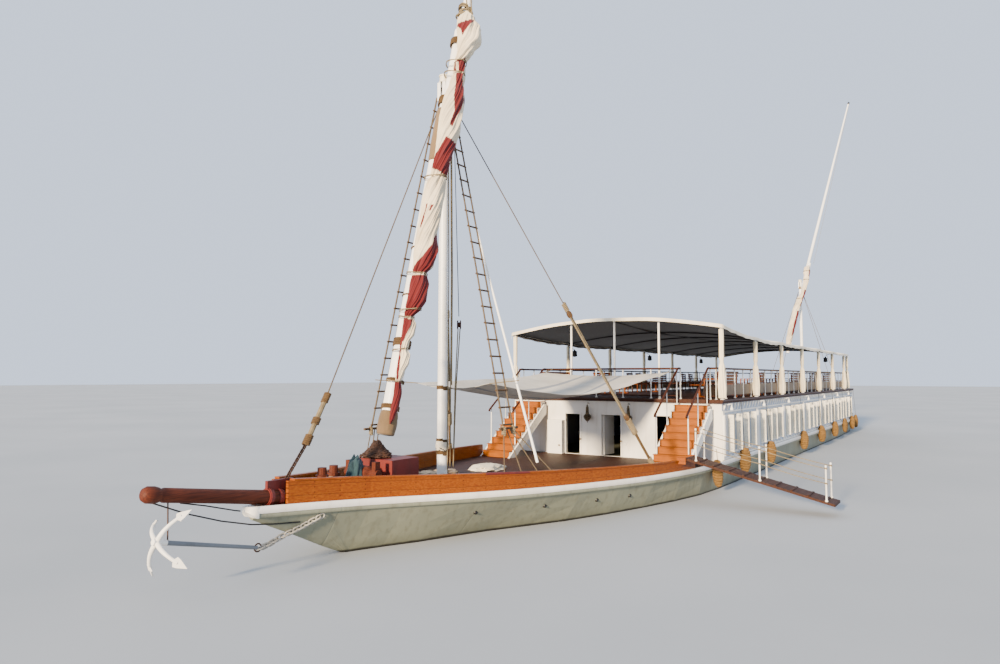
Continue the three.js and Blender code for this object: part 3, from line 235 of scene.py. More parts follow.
# Grey paint on riveted steel plates: rust weeping down, weed and tar at the waterline
def painted_plates(name):
    material, tree, shader, place = new_finish(name, Roughness=0.55)
    axes = add_node(tree, "ShaderNodeSeparateXYZ", {0: place}).outputs
    patches = blotches(tree, place, 1400, 0.4, 0.7)
    weep = blotches(tree, place, 110, 0.5, 0.78, (1, 1, 0.05))
    grey = blend(tree, scaled(tree, patches, 0.6), "848773", "717463")
    grey = blend(tree, scaled(tree, weep, 0.45), grey, "544d39")
    ragged = scaled(tree, blotches(tree, place, 300, 0.2, 0.8), 0.012)
    level = add_node(tree, "ShaderNodeMath", {0: axes["Z"], 1: ragged}, operation="SUBTRACT").outputs[0]
    # columns: height where it starts to fade, height where it ends, share, colour
    for low, high, share, colour in ((0.02, 0.14, 0.4, "515240"), (0.012, 0.03, 1.0, "17160f")):
        fade = add_node(tree, "ShaderNodeMapRange", {
            "Value": level, "From Min": low, "From Max": high, "To Min": share, "To Max": 0.0}).outputs[0]
        grey = blend(tree, fade, grey, colour)
    tree.links.new(grey, shader.inputs["Base Color"])
    plate = add_node(tree, "ShaderNodeMath", {0: axes["X"], 1: 0.75}, operation="PINGPONG").outputs[0]
    seam = add_node(tree, "ShaderNodeMapRange",
                    {"Value": plate, "From Min": 0.0, "From Max": 0.012}).outputs[0]
    dents = blotches(tree, place, 800, 0.2, 0.8, detail=2.0)
    height = add_node(tree, "ShaderNodeMath", {0: dents, 1: 4.0, 2: seam},
                      operation="MULTIPLY_ADD").outputs[0]
    relief(tree, shader, height, 4.0, 0.7)
    return material


# Varnished boards between white stringers, told apart by their distance from the centreline
def stair_finish(name, middle, half):
    material, tree, shader, place = new_finish(name, Roughness=0.42, Specular_IOR_Level=0.18)
    axes = add_node(tree, "ShaderNodeSeparateXYZ", {0: place}).outputs
    out = add_node(tree, "ShaderNodeMath", {0: axes["Y"]}, operation="ABSOLUTE").outputs[0]
    board = add_node(tree, "ShaderNodeMath", {0: out, 1: middle * SCALE, 2: half * SCALE},
                     operation="COMPARE").outputs[0]
    grain = blotches(tree, place, 25, 0.3, 0.7, (1, 0.05, 1))
    worn = blotches(tree, place, 350, 0.4, 0.75)
    wood = blend(tree, grain, "9a540c", "824406")
    wood = blend(tree, scaled(tree, worn, 0.5), wood, "6a3604")
    tree.links.new(blend(tree, board, "efece4", wood), shader.inputs["Base Color"])
    relief(tree, shader, grain, 1.5, 0.5)
    return material


hull_grey = painted_plates("weathered_grey_steel")
stairs = stair_finish("stair_boards_and_stringers", 3.06, 0.544)
white = paint("white_enamel", "f3f0e8", "b9ae97", 0.38, 0.30)
cream = paint("cream_shutter_paint", "efe9d6", "b8ab8c", 0.45, 0.35)
spar_white = paint("white_spar_paint", "f5f3ee", "c9bfa8", 0.35, 0.25)
# The side walls' pale blue-grey is painted shade: they stand in bluish shade, while the front wall is white
side_wall_painted_shade = paint("pale_blue_grey_wall_paint", "b9c2cf", "8e959c", 0.5, 0.3)
# The frieze is white paint; its grey-blue here is painted shade
frieze_painted_shade = paint("grey_blue_frieze_paint", "b0b9c8", "7f8894", 0.5, 0.35)
red_oxide = paint("red_oxide_on_iron", "66180f", "2f0c08", 0.55, 0.6)
rust = paint("rusty_iron", "422819", "1c100a", 0.8, 0.8, 30.0)
shank_grey = paint("grey_primer_on_steel", "6f747a", "474a4c", 0.5, 0.4)
galvanised = paint("galvanised_chain", "a8a49a", "5d564c", 0.5, 0.6, 30.0)
dark_iron = paint("black_iron", "171514", "080707", 0.5, 0.5, 30.0)
brown_strip = paint("brown_deck_edge", "431d11", "1f0d09", 0.5, 0.5)
planks = timber("varnished_bulwark_planks", "98520a", "743404", "3a1a06", 0.42, 190, "Z", "X", 8.0, 0.06,
                bulwark=True)
stair_wood = timber("varnished_stair_boards", "9a540c", "763c06", "3e1e06", 0.42, 2000, "Y", "Y", 4.0, 0.05)
teak = timber("varnished_teak", "8e480e", "663208", "341a06", 0.42, 90, "Y", "X", 3.0, 0.05)
deck_brown = timber("oxide_deck_planks", "48281a", "301a10", "140c08", 0.62, 150, "Y", "X", 9.0)
rail_brown = timber("stained_hardwood_rail", "4a2410", "2a140a", "140a05", 0.45, 2000, "Y", "X", 3.0, 0.05)
worn_wood = timber("weathered_block_wood", "6a5138", "43311f", "20160c", 0.6, 2000, "Z", "X", 3.0)
log_brown = timber("painted_log", "66301c", "401c12", "26100a", 0.6, 2000, "Z", "X", 3.0)
pale_rope = rope("hemp_rope", "a39270", "5a4b33")
tarred_rope = rope("tarred_rope", "372f27", "14100d")
grey_rope = rope("weathered_rope", "7d6c54", "453a2c")
brown_rope = rope("coir_rope", "745937", "3a2810", 45.0)
fender_rope = rope("coir_fender", "8f6a34", "58401c", 45.0)
dark_rope = rope("dark_cane", "342014", "160b06", 40.0)
# Its dark last colour is painted shade on the undersides of the awning and of the other pieces in this cloth
awning_cloth = cloth("awning_canvas_finish", "e8dfca", "b3a78c", 30.0, "211d1a")
shade_cloth = cloth("striped_shade_cloth", "bdb7aa", "8a8378", 30.0, stripes={
    "bands": ((0.62, 0.07), (-0.75, 0.07)), "colour": "5a6675"})
curtain_cloth = cloth("curtain_cotton", "ece0c2", "b7a582", 24.0)
sail_cloth = cloth("lateen_sailcloth", "e2d4b8", "8c7c60", 30.0, dyed="5c0408")
sacking = cloth("jute_sacking", "745e41", "483720", 26.0)
teal_cloth = cloth("teal_cotton", "203c44", "0b1a20", 24.0)
black_tarp = cloth("dark_tarpaulin", "1c1c1d", "09090a", 40.0)
matting = cloth("woven_reed_matting", "8c7558", "5c4a38", 40.0, fold=0.8)
bronze = mottled("aged_brass", "8f7d60", "4e4331", 60, Metallic=0.85, Roughness=0.42)
glass = mottled("dark_window_glass", "111716", "272f29", 900, Roughness=0.08)

# Each finish with the nodes of the solids that wear it
NODE_FINISHES = (
    (hull_grey, "hull"), (planks, "bulwark"), (teak, "tiller"), (awning_cloth, "awning"),
    (white, "rudder rub_strake stern_bulwark anchor house_front house_stern"),
    (white, "door_starboard door_centre locker awning_frame_port awning_frame_starboard"),
    (side_wall_painted_shade, "house_port house_starboard"),
    (deck_brown, "foredeck poop_deck upper_deck gangway"), (red_oxide, "stay_iron deck_hatch"),
    (log_brown, "bowsprit bitt_fore bitt_aft windlass"), (stairs, "stair_port stair_starboard"),
    (rail_brown, "rail_front rail_port rail_starboard rail_stern"), (shade_cloth, "foredeck_shade"),
    (bronze, "wall_lantern_port wall_lantern_starboard"), (sail_cloth, "main_sail mizzen_sail"),
    (spar_white, "main_mast main_yard mizzen_mast mizzen_yard"),
    (sacking, "main_sling mizzen_sling shrouds_port shrouds_starboard forestay"),
    (sacking, "backstay_port backstay_starboard mizzen_stays_port mizzen_stays_starboard"),
)
for node_finish, node_names in NODE_FINISHES:
    for node_name in node_names.split():
        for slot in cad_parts[node_name].material_slots:
            slot.material = node_finish


def placed(name, data):
    """A new object in the scene."""
    obj = bpy.data.objects.new(name, data)
    bpy.context.collection.objects.link(obj)
    return obj


# Camera
def aim(yaw, pitch, roll):
    heading, lift = math.radians(yaw), math.radians(pitch)
    ahead = Vector((-math.cos(heading) * math.cos(lift), -math.sin(heading) * math.cos(lift), math.sin(lift)))
    return ahead.to_track_quat("-Z", "Y") @ Quaternion((0, 0, 1), math.radians(roll))


camera_data = bpy.data.cameras.new("camera")
camera_data.lens = CAMERA["lens"]
camera_data.sensor_width = 36.0
camera_data.clip_end = 600.0
camera = placed("camera", camera_data)
camera.location = CAMERA["at"]
camera.rotation_euler = aim(CAMERA["yaw"], CAMERA["pitch"], CAMERA["roll"]).to_euler()
bpy.context.scene.camera = camera

# Low warm sun from ahead, and a pale even sky
sun_data = bpy.data.lights.new("sun", "SUN")
sun_data.energy = SUN["strength"]
sun_data.color = rgb(SUN["colour"])
sun_data.angle = math.radians(SUN["spread"])
sun = placed("sun", sun_data)
turn, lift = math.radians(SUN["azimuth"]), math.radians(SUN["height"])
towards_sun = Vector((math.cos(turn) * math.cos(lift), math.sin(turn) * math.cos(lift), math.sin(lift)))
sun.rotation_euler = towards_sun.to_track_quat("Z", "Y").to_euler()
world = bpy.data.worlds.new("studio")
world.use_nodes = True
world.node_tree.nodes["Background"].inputs["Color"].default_value = rgba(SKY["colour"])
world.node_tree.nodes["Background"].inputs["Strength"].default_value = SKY["strength"]
bpy.context.scene.world = world


# Meshes
UP = Vector((0, 0, 1))


def round_turns(count):
    """Angles spaced evenly round a circle."""
    return [2 * math.pi * k / count for k in range(count)]


def axes_about(way):
    """A direction made one long, and two others square to it."""
    way = Vector(way).normalized()
    across = way.orthogonal().normalized()
    return way, across, way.cross(across)


def wander(*place):
    """Smooth noise between about -1 and 1 at a place."""
    return noise.noise(Vector(place))


def squared_off(turn, power):
    """Cosine and sine of an angle, their circle pressed towards a square."""
    return [math.copysign(abs(value) ** power, value) for value in (math.cos(turn), math.sin(turn))]


class Form:
    """Points and faces of a piece, in metres of the real boat, with a mark on each corner for rope."""

    def __init__(self):
        self.points = []
        self.faces = []
        self.marks = []

    def face(self, corners, marks=None):
        self.faces.append(tuple(corners))
        self.marks.append(marks or [(0.0, 0.0)] * len(corners))

    def block(self, low, high):
        start = len(self.points)
        xs, ys, zs = zip(low, high)
        self.points += [(x, y, z) for x in xs for y in ys for z in zs]
        for quad in ((0, 1, 3, 2), (4, 6, 7, 5), (0, 4, 5, 1), (2, 3, 7, 6), (0, 2, 6, 4), (1, 5, 7, 3)):
            self.face([start + i for i in quad])
        return self

    def slab(self, side, xs, outs, zs):
        """A block on one side of the boat; outs are distances from the middle plane."""
        near, far = sorted(side * out for out in outs)
        return self.block((xs[0], near, zs[0]), (xs[1], far, zs[1]))

    def loft(self, rings, lengths=None, joined=False):
        """A skin over rings that turn right-handed about the way they run."""
        start, count = len(self.points), len(rings[0])
        lengths = lengths or [0.0] * (len(rings) + 1)
        for ring in rings:
            self.points += [tuple(p) for p in ring]
        for r in range(len(rings) if joined else len(rings) - 1):
            near, far = start + r * count, start + (r + 1) % len(rings) * count
            for i in range(count):
                j = (i + 1) % count
                a, b = i / count, (i + 1) / count
                self.face((near + i, near + j, far + j, far + i),
                          [(lengths[r], a), (lengths[r], b), (lengths[r + 1], b), (lengths[r + 1], a)])
        if not joined:
            self.face([start + i for i in reversed(range(count))])
            self.face([start + (len(rings) - 1) * count + i for i in range(count)])
        return self

    def tube(self, path, radius, sides, joined=False):
        """A round bar along a path; radius is a number or one for each point."""
        path = [Vector(p) for p in path]
        last = len(path) - 1
        radii = radius if isinstance(radius, (list, tuple)) else [radius] * len(path)
        rings, lengths, run, across = [], [], 0.0, None
        for i, point in enumerate(path):
            before = path[i - 1] if i or joined else point
            after = path[(i + 1) % len(path)] if i < last or joined else point
            way = (after - before).normalized()
            if across is None:
                across = way.orthogonal().normalized()
            across = (across - way * across.dot(way)).normalized()
            up = way.cross(across)
            if i:
                run += (point - path[i - 1]).length
            lengths.append(run)
            rings.append([point + (across * math.cos(t) + up * math.sin(t)) * radii[i]
                          for t in round_turns(sides)])
        lengths.append(run + (path[0] - path[-1]).length)
        return self.loft(rings, lengths, joined)

    def turned(self, base, way, profile, sides):
        """A turned form: rows of distance along its axis and radius."""
        base, (way, across, up) = Vector(base), axes_about(way)
        rings = []
        for distance, radius in profile:
            middle = base + way * distance
            rings.append([middle + (across * math.cos(t) + up * math.sin(t)) * max(radius, 0.0005)
                          for t in round_turns(sides)])
        return self.loft(rings)

    def beam(self, start, end, wide, high):
        """A straight upright bar of rectangular section."""
        start, end = Vector(start), Vector(end)
        way = (end - start).normalized()
        side = way.cross(UP).normalized() * (wide / 2)
        lift = side.cross(way).normalized() * (high / 2)
        ring = (side * -1 - lift, lift - side, side + lift, side - lift)
        return self.loft([[point + corner for corner in ring] for point in (start, end)])

    def sheet(self, rows, thick, closed=False):
        """A thin cloth over rows of points, thickened on both sides of its middle surface."""
        columns = len(rows[0])
        grid = [[Vector(p) for p in row] for row in rows]
        normals = []
        for r, row in enumerate(grid):
            line = []
            for c in range(columns):
                up = grid[min(r + 1, len(grid) - 1)][c] - grid[max(r - 1, 0)][c]
                left = row[(c + 1) % columns if closed else min(c + 1, columns - 1)]
                right = row[c - 1 if closed else max(c - 1, 0)]
                line.append(up.cross(left - right).normalized() * (thick / 2))
            normals.append(line)
        start, size = len(self.points), len(grid) * columns
        for side in (1, -1):
            self.points += [tuple(point + normal * side) for row, line in zip(grid, normals)
                            for point, normal in zip(row, line)]
        span = columns if closed else columns - 1
        for r in range(len(grid) - 1):
            for c in range(span):
                d = (c + 1) % columns
                a, b = start + r * columns + c, start + r * columns + d
                quad = (a, a + columns, b + columns, b)
                self.face(quad)
                self.face([i + size for i in reversed(quad)])
        if closed:
            for c in range(columns):
                d = (c + 1) % columns
                self.face((start + c, start + d, start + size + d, start + size + c))
                top = start + (len(grid) - 1) * columns
                self.face((top + d, top + c, top + size + c, top + size + d))
            return self
        rim = [start + c for c in range(columns)]
        rim += [start + r * columns + columns - 1 for r in range(1, len(grid))]
        rim += [start + (len(grid) - 1) * columns + c for c in reversed(range(columns - 1))]
        rim += [start + r * columns for r in reversed(range(1, len(grid) - 1))]
        for i, a in enumerate(rim):
            b = rim[(i + 1) % len(rim)]
            self.face((a, b, b + size, a + size))
        return self


def mesh_of(name, form, smooth=40.0):
    mesh = bpy.data.meshes.new(name)
    mesh.from_pydata([tuple(p) for p in form.points], [], form.faces)
    layer = mesh.uv_layers.new(name="strand")
    layer.data.foreach_set("uv", [v for face in form.marks for mark in face for v in mark])
    if smooth:
        mesh.shade_smooth()
        mesh.set_sharp_from_angle(angle=math.radians(smooth))
    mesh.update()
    return mesh


def baked(obj):
    """The object's mesh with its modifiers applied, which are then removed."""
    mesh = bpy.data.meshes.new_from_object(obj.evaluated_get(bpy.context.evaluated_depsgraph_get()))
    obj.modifiers.clear()
    obj.data = mesh


def piece(name, shape, finish, body="hull", stands_for=(), smooth=40.0, bevel=0.0):
    """A finished piece from a form or a mesh in real metres, on its body."""
    mesh = shape if isinstance(shape, bpy.types.Mesh) else mesh_of(name, shape, smooth)
    mesh.name = name
    obj = placed(name, mesh)
    if bevel:
        obj.modifiers.new("edges", "BEVEL").width = bevel
        obj.modifiers["edges"].segments = 2
        obj.modifiers["edges"].limit_method = "ANGLE"
        baked(obj)
    obj.data.transform(Matrix.Scale(SCALE, 4))
    obj.data.materials.clear()
    obj.data.materials.append(finish)
    if stands_for:
        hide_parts(*stands_for)
    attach(obj, body)
    return obj


# Geometry Nodes
def new_tree(name, sockets):
    tree = bpy.data.node_groups.new(name, "GeometryNodeTree")
    for label, kind in sockets:
        tree.interface.new_socket(label, in_out="INPUT", socket_type="NodeSocket" + kind)
    tree.interface.new_socket("Copies", in_out="OUTPUT", socket_type="NodeSocketGeometry")
    return tree, add_node(tree, "NodeGroupInput").outputs


def close_tree(tree, instances, finish):
    real = add_node(tree, "GeometryNodeRealizeInstances", {0: instances}).outputs[0]
    done = add_node(tree, "GeometryNodeSetMaterial", {"Geometry": real, "Material": finish}).outputs[0]
    add_node(tree, "NodeGroupOutput", {0: done})


def row_tree():
    """Copies of a form from one point to another, each size and turn between two ends."""
    tree, given = new_tree("row_of_copies", (
        ("Form", "Geometry"), ("Count", "Int"), ("First", "Vector"), ("Last", "Vector"),
        ("First size", "Vector"), ("Last size", "Vector"), ("Turn", "Vector"), ("Play", "Float"),
        ("Seed", "Int"), ("Finish", "Material")))
    ends = {"Count": given["Count"], "Start Location": given["First"], "Offset": given["Last"]}
    line = add_node(tree, "GeometryNodeMeshLine", ends, mode="END_POINTS").outputs[0]
    index = add_node(tree, "GeometryNodeInputIndex").outputs[0]
    spaces = add_node(tree, "ShaderNodeMath", {0: given["Count"], 1: 1.0}, operation="SUBTRACT").outputs[0]
    share = add_node(tree, "ShaderNodeMath", {0: index, 1: spaces}, operation="DIVIDE").outputs[0]
    size = add_node(tree, "ShaderNodeMix", {0: share, 4: given["First size"], 5: given["Last size"]},
                    data_type="VECTOR").outputs[1]
    least = add_node(tree, "ShaderNodeMath", {0: given["Play"], 1: -1.0}, operation="MULTIPLY").outputs[0]
    play = add_node(tree, "FunctionNodeRandomValue",
                    {2: least, 3: given["Play"], "Seed": given["Seed"]}).outputs[1]
    skew = add_node(tree, "ShaderNodeCombineXYZ", {"X": play, "Z": play}).outputs[0]
    turned = add_node(tree, "ShaderNodeVectorMath", {0: given["Turn"], 1: skew}, operation="ADD").outputs[0]
    copies = add_node(tree, "GeometryNodeInstanceOnPoints",
                      {"Points": line, "Instance": given["Form"], "Rotation": turned,
                       "Scale": size}).outputs[0]
    close_tree(tree, copies, given["Finish"])
    return tree


def path_tree():
    """Copies of a form along a path, every other one rolled a quarter turn, as a chain's links are."""
    tree, given = new_tree("copies_on_a_path", (
        ("Path", "Geometry"), ("Form", "Object"), ("Pitch", "Float"), ("Finish", "Material")))
    curve = add_node(tree, "GeometryNodeMeshToCurve", {0: given["Path"]}).outputs[0]
    spaced = add_node(tree, "GeometryNodeResampleCurve", {"Curve": curve, "Length": given["Pitch"]},
                      mode="LENGTH")
    form = add_node(tree, "GeometryNodeObjectInfo", {"Object": given["Form"]}).outputs["Geometry"]
    way = add_node(tree, "GeometryNodeInputTangent").outputs[0]
    facing = add_node(tree, "FunctionNodeAlignEulerToVector", {"Vector": way}, axis="X").outputs[0]
    index = add_node(tree, "GeometryNodeInputIndex").outputs[0]
    odd = add_node(tree, "ShaderNodeMath", {0: index, 1: 2.0}, operation="MODULO").outputs[0]
    rolled = add_node(tree, "ShaderNodeMath", {0: odd, 1: math.pi / 2}, operation="MULTIPLY").outputs[0]
    spin = add_node(tree, "ShaderNodeCombineXYZ", {"X": rolled}).outputs[0]
    turned = add_node(tree, "FunctionNodeRotateEuler", {"Rotation": facing, "Rotate By": spin}, space="LOCAL")
    copies = add_node(tree, "GeometryNodeInstanceOnPoints",
                      {"Points": spaced.outputs[0], "Instance": form,
                       "Rotation": turned.outputs[0]}).outputs[0]
    close_tree(tree, copies, given["Finish"])
    return tree


ROW_TREE = row_tree()
PATH_TREE = path_tree()


def grown(name, mesh, tree, **values):
    """The mesh that a tree makes of another, with the tree's inputs set by name."""
    carrier = placed(name + "_carrier", mesh)
    modifier = carrier.modifiers.new("copies", "NODES")
    modifier.node_group = tree
    for item in tree.interface.items_tree:
        key = item.name.replace(" ", "_").lower()
        if item.in_out == "INPUT" and key in values:
            modifier[item.identifier] = values[key]
    result = bpy.data.meshes.new_from_object(carrier.evaluated_get(bpy.context.evaluated_depsgraph_get()))
    carrier.modifiers.clear()
    bpy.data.objects.remove(carrier)
    return result


def merged(meshes):
    """Several meshes as one."""
    form = Form()
    for mesh in meshes:
        start = len(form.points)
        form.points += [tuple(v.co) for v in mesh.vertices]
        layer = mesh.uv_layers.get("strand")
        for polygon in mesh.polygons:
            marks = [tuple(layer.data[i].uv) for i in polygon.loop_indices] if layer else None
            form.face([start + i for i in polygon.vertices], marks)
    return form


def rows_of(name, form, finish, rows):
    """Rows of copies of one form, merged; each row is count, first, last and any other inputs."""
    meshes = []
    for count, first, last, *rest in rows:
        extra = rest[0] if rest else {}
        sizes = {"first_size": (1.0, 1.0, 1.0), "last_size": (1.0, 1.0, 1.0), "turn": (0.0, 0.0, 0.0),
                 "play": 0.0, "seed": 3, **extra}
        meshes.append(grown(name, mesh_of(name, form), ROW_TREE, count=count, first=first, last=last,
                            finish=finish, **sizes))
    return merged(meshes)


def on_path(name, points, form, finish, pitch):
    """Copies of a form along a path."""
    link = placed(name + "_link", mesh_of(name + "_link", form))
    path = bpy.data.meshes.new(name + "_path")
    path.from_pydata([tuple(p) for p in points], [(i, i + 1) for i in range(len(points) - 1)], [])
    mesh = grown(name, path, PATH_TREE, form=link, pitch=pitch, finish=finish)
    bpy.data.objects.remove(link)
    return merged([mesh])


# Surfaces of the CAD nodes, in real metres
class Surface:
    def __init__(self, *names):
        points, faces = [], []
        for name in names:
            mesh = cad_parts[name].data
            start = len(points)
            points += [v.co.copy() / SCALE for v in mesh.vertices]
            faces += [tuple(start + i for i in p.vertices) for p in mesh.polygons]
        self.tree = BVHTree.FromPolygons(points, faces)

    def meet(self, origin, way):
        return self.tree.ray_cast(Vector(origin), Vector(way))[0]

    def side(self, x, z, side):
        """Half-breadth of the outer face at that place along the boat and height."""
        return abs(self.meet((x, side * 9.0, z), (0, -side, 0)).y)

    def top(self, x, y, above=9.0):
        return self.meet((x, y, above), (0, 0, -1)).z


bulwark_face = Surface("bulwark")
strake_face = Surface("rub_strake")
fore_deck = Surface("foredeck")
hull_face = Surface("hull")


def mirrored(form):
    """The form on the other side of the middle plane, its faces still outwards."""
    form.points = [(x, -y, z) for x, y, z in form.points]
    form.faces = [face[::-1] for face in form.faces]
    return form


def sagged(start, end, sag, count=12):
    """Points of a line that hangs between two others."""
    start, end = Vector(start), Vector(end)
    return [start.lerp(end, k / count) - Vector((0, 0, 4 * sag * (k / count) * (1 - k / count)))
            for k in range(count + 1)]


def deck_height(x):
    """Height of the deck, which rises towards the bow."""
    bow = max(0.0, (x - 11.0) / 14.6)
    return 0.75 + 0.36 * bow ** 2


def bulwark_top(x):
    """Height of the bulwark's top, without its cap."""
    return deck_height(x) + 0.35 + 0.015 * (x - 13.35)


floor = bpy.data.meshes.new("floor")
reach = FLOOR["half"]
corners = [(-reach, -reach, 0), (reach, -reach, 0), (reach, reach, 0), (-reach, reach, 0)]
floor.from_pydata(corners, [], [(0, 1, 2, 3)])
floor.materials.append(mottled("studio_floor", FLOOR["colour"], FLOOR["patch"], 9000, Roughness=0.9))
placed("floor", floor)

# Upper deck rails
DECK_TOP = 2.785
RAIL_TOP = DECK_TOP + 1.0
RAIL_X = (10.95, -17.48)
RAIL_Y = 3.74
STAIR_GAP = (2.56, 3.55)
STANCHION = {"radius": 0.021, "spacing": 1.05}
HANDRAIL = 0.034


def rail_runs():
    """Plan of each length of rail, by its node."""
    inner, outer = STAIR_GAP
    fore, aft = RAIL_X
    runs = {"rail_front": [[(fore, -inner), (fore, inner)]],
            "rail_stern": [[(aft, -RAIL_Y + 0.1), (aft, RAIL_Y - 0.1)]]}
    for name, side in SIDES.items():
        runs["rail_" + name] = [[(fore, side * outer), (fore, side * RAIL_Y)],
                                [(fore, side * RAIL_Y), (aft, side * RAIL_Y)]]
    return runs


def stanchion():
    """Turned white stanchion with a foot and two swellings, from the deck to under the rail."""
    slim = STANCHION["radius"]
    return Form().turned((0, 0, 0), UP, [
        (0.0, 0.045), (0.02, 0.045), (0.03, slim), (0.46, slim), (0.475, 0.032), (0.505, 0.032),
        (0.52, slim), (0.93, slim), (0.95, 0.03), (0.965, 0.03)], 10)


for rail_name, runs in rail_runs().items():
    posts, rails, mats = [], Form(), Form()
    for start, end in runs:
        ends = [Vector((*start, DECK_TOP)), Vector((*end, DECK_TOP))]
        run = ends[1] - ends[0]
        spaces = max(1, round(run.length / STANCHION["spacing"]))
        posts.append((spaces + 1, *[point + UP * 0.001 for point in ends]))
        rails.tube([point + UP * (RAIL_TOP - DECK_TOP) for point in ends], HANDRAIL, 10)
        for height in (0.1, 0.51):
            rails.tube([point + UP * height for point in ends], 0.014, 8)
        # Mats hang only along the boat's sides
        for k in range(spaces if abs(run.x) > abs(run.y) else 0):
            clear = run.normalized() * 0.04
            low = ends[0] + UP * 0.3
            mats.beam(low + run * (k / spaces) + clear, low + run * ((k + 1) / spaces) - clear, 0.012, 0.36)
    post_form = rows_of(rail_name + "_stanchions", stanchion(), white, posts)
    piece(rail_name + "_stanchions", post_form, white, stands_for=(rail_name,))
    piece(rail_name + "_bars", rails, rail_brown, stands_for=(rail_name,))
    if mats.points:
        piece(rail_name + "_mats", mats, matting, stands_for=(rail_name,))

# Treads of the stairs with their nosings, and handrails on thin white stanchions
STEPS = {"fore": 11.151, "tread": 0.2633, "rise": 0.2035, "wide": (2.5, 3.62)}
GRIP = {"fore": 11.17, "foot": 13.2, "fall": 1.42}
for name, side in SIDES.items():
    treads = Form()
    for k in range(1, 10):
        nose, height = STEPS["fore"] + STEPS["tread"] * k, DECK_TOP - STEPS["rise"] * k
        treads.slab(side, (nose - STEPS["tread"] + 0.004, nose + 0.03), STEPS["wide"],
                    (height + 0.0006, height + 0.026))
    piece("stair_treads_" + name, treads, stair_wood, bevel=0.005)
stair_face = Surface("stair_port", "stair_starboard")
for name, side in SIDES.items():
    for place, y in (("inner", STAIR_GAP[0]), ("outer", STAIR_GAP[1])):
        rail = Form().tube([(x, side * y, RAIL_TOP - fall) for x, fall in (
            (RAIL_X[0], 0), (11.08, -0.01), (GRIP["fore"], 0), (GRIP["foot"], GRIP["fall"]),
            (GRIP["foot"] + 0.04, GRIP["fall"] + 0.06))], HANDRAIL, 10)
        piece(f"stair_handrail_{name}_{place}", rail, rail_brown,
              stands_for=("rail_front" if place == "inner" else "rail_" + name,))
        posts = Form()
        for x in (11.3, 12.2, 13.1):
            head = RAIL_TOP - GRIP["fall"] * (x - GRIP["fore"]) / (GRIP["foot"] - GRIP["fore"])
            posts.tube([(x, side * y, stair_face.top(x, side * y, head)), (x, side * y, head)], 0.018, 8)
        piece(f"stair_stanchions_{name}_{place}", posts, white)

# Awning, its posts and its curtains
BAY = 4.2
POSTS = (*[10.94 - BAY * k for k in range(7)], -15.5)
POST_Y = 3.93
AWNING = {"fore": 11.08, "aft": -15.65, "half": 4.0, "crown": 0.38, "thick": 0.012, "hem": 0.11}
CURTAIN = {"foot": 0.05, "clear": 0.12, "tie": 1.2, "core": 0.048}


def awning_edge(x):
    """Height of the awning's underside at its edge, a little lower between the posts."""
    level = 4.94 + 0.22 * max(0.0, (x - POSTS[1]) / BAY)
    for fore, aft in zip(POSTS, POSTS[1:]):
        if aft <= x <= fore:
            share = (x - aft) / (fore - aft)
            level -= 0.055 * (4 * share * (1 - share)) * (fore - aft) / BAY
    return level


def awning_rows():
    """Rows of points across the awning, with a hem hanging all round."""
    fore, aft, half, hem = (AWNING[key] for key in ("fore", "aft", "half", "hem"))
    rows = []
    for i in range(109):
        x = aft + (fore - aft) * i / 108
        edge = awning_edge(x) + 0.02
        row = []
        for j in range(41):
            turn = -1 + j / 20
            sway = 0.02 * wander(x * 0.8, turn * 3, 5)
            row.append((x, turn * half, edge + AWNING["crown"] * (1 - turn ** 2) + sway))
        drop = hem + 0.012 * math.sin(x * 7.0)
        flaps = [[(x, y * (1 + out / half), z - drop * fall) for out, fall in ((0.012, 1), (0.01, 0.5))]
                 for x, y, z in (row[0], row[-1])]
        rows.append([*flaps[0], *row, *flaps[1][::-1]])
    front = [(fore + 0.012, y, z - hem) for x, y, z in rows[-1]]
    back = [(aft - 0.012, y, z - hem) for x, y, z in rows[0]]
    return [back, *rows, front]


def curtain_rows(x, y, top, number, side):
    """Rings of points round a post, from the curtain's foot to its head."""
    phase = random.Random(40 + number + 10 * side).uniform(0, 6.28)
    rows = []
    for k in range(33):
        height = CURTAIN["foot"] + (top - CURTAIN["foot"]) * k / 32
        low = 1 - min(1.0, height / 0.85)
        tie = math.exp(-((height - CURTAIN["tie"]) / 0.08) ** 2)
        below = 1 / (1 + math.exp((height - 1.15) / 0.05))
        swell = math.exp(-((height - 0.4) / 0.3) ** 2)
        radius = (0.075 + 0.018 * below + 0.028 * swell) * (1 - 0.3 * tie)
        row = []
        for turn in round_turns(56):
            pleat = 1 + 0.26 * math.sin(8 * turn + phase + 1.9 * height) + 0.08 * math.sin(3 * turn - phase)
            reach = CURTAIN["core"] + (radius - CURTAIN["core"]) * pleat * (1 + 0.2 * low)
            reach *= 1 + 0.12 * wander(math.cos(turn), math.sin(turn), 2.2 * height + 9 * number)
            row.append((x + reach * math.cos(turn), y + 0.9 * reach * math.sin(turn), DECK_TOP + height))
        rows.append(row)
    return rows


awning = piece("awning_cover", Form().sheet(awning_rows(), AWNING["thick"]), awning_cloth,
               stands_for=("awning",), smooth=60)

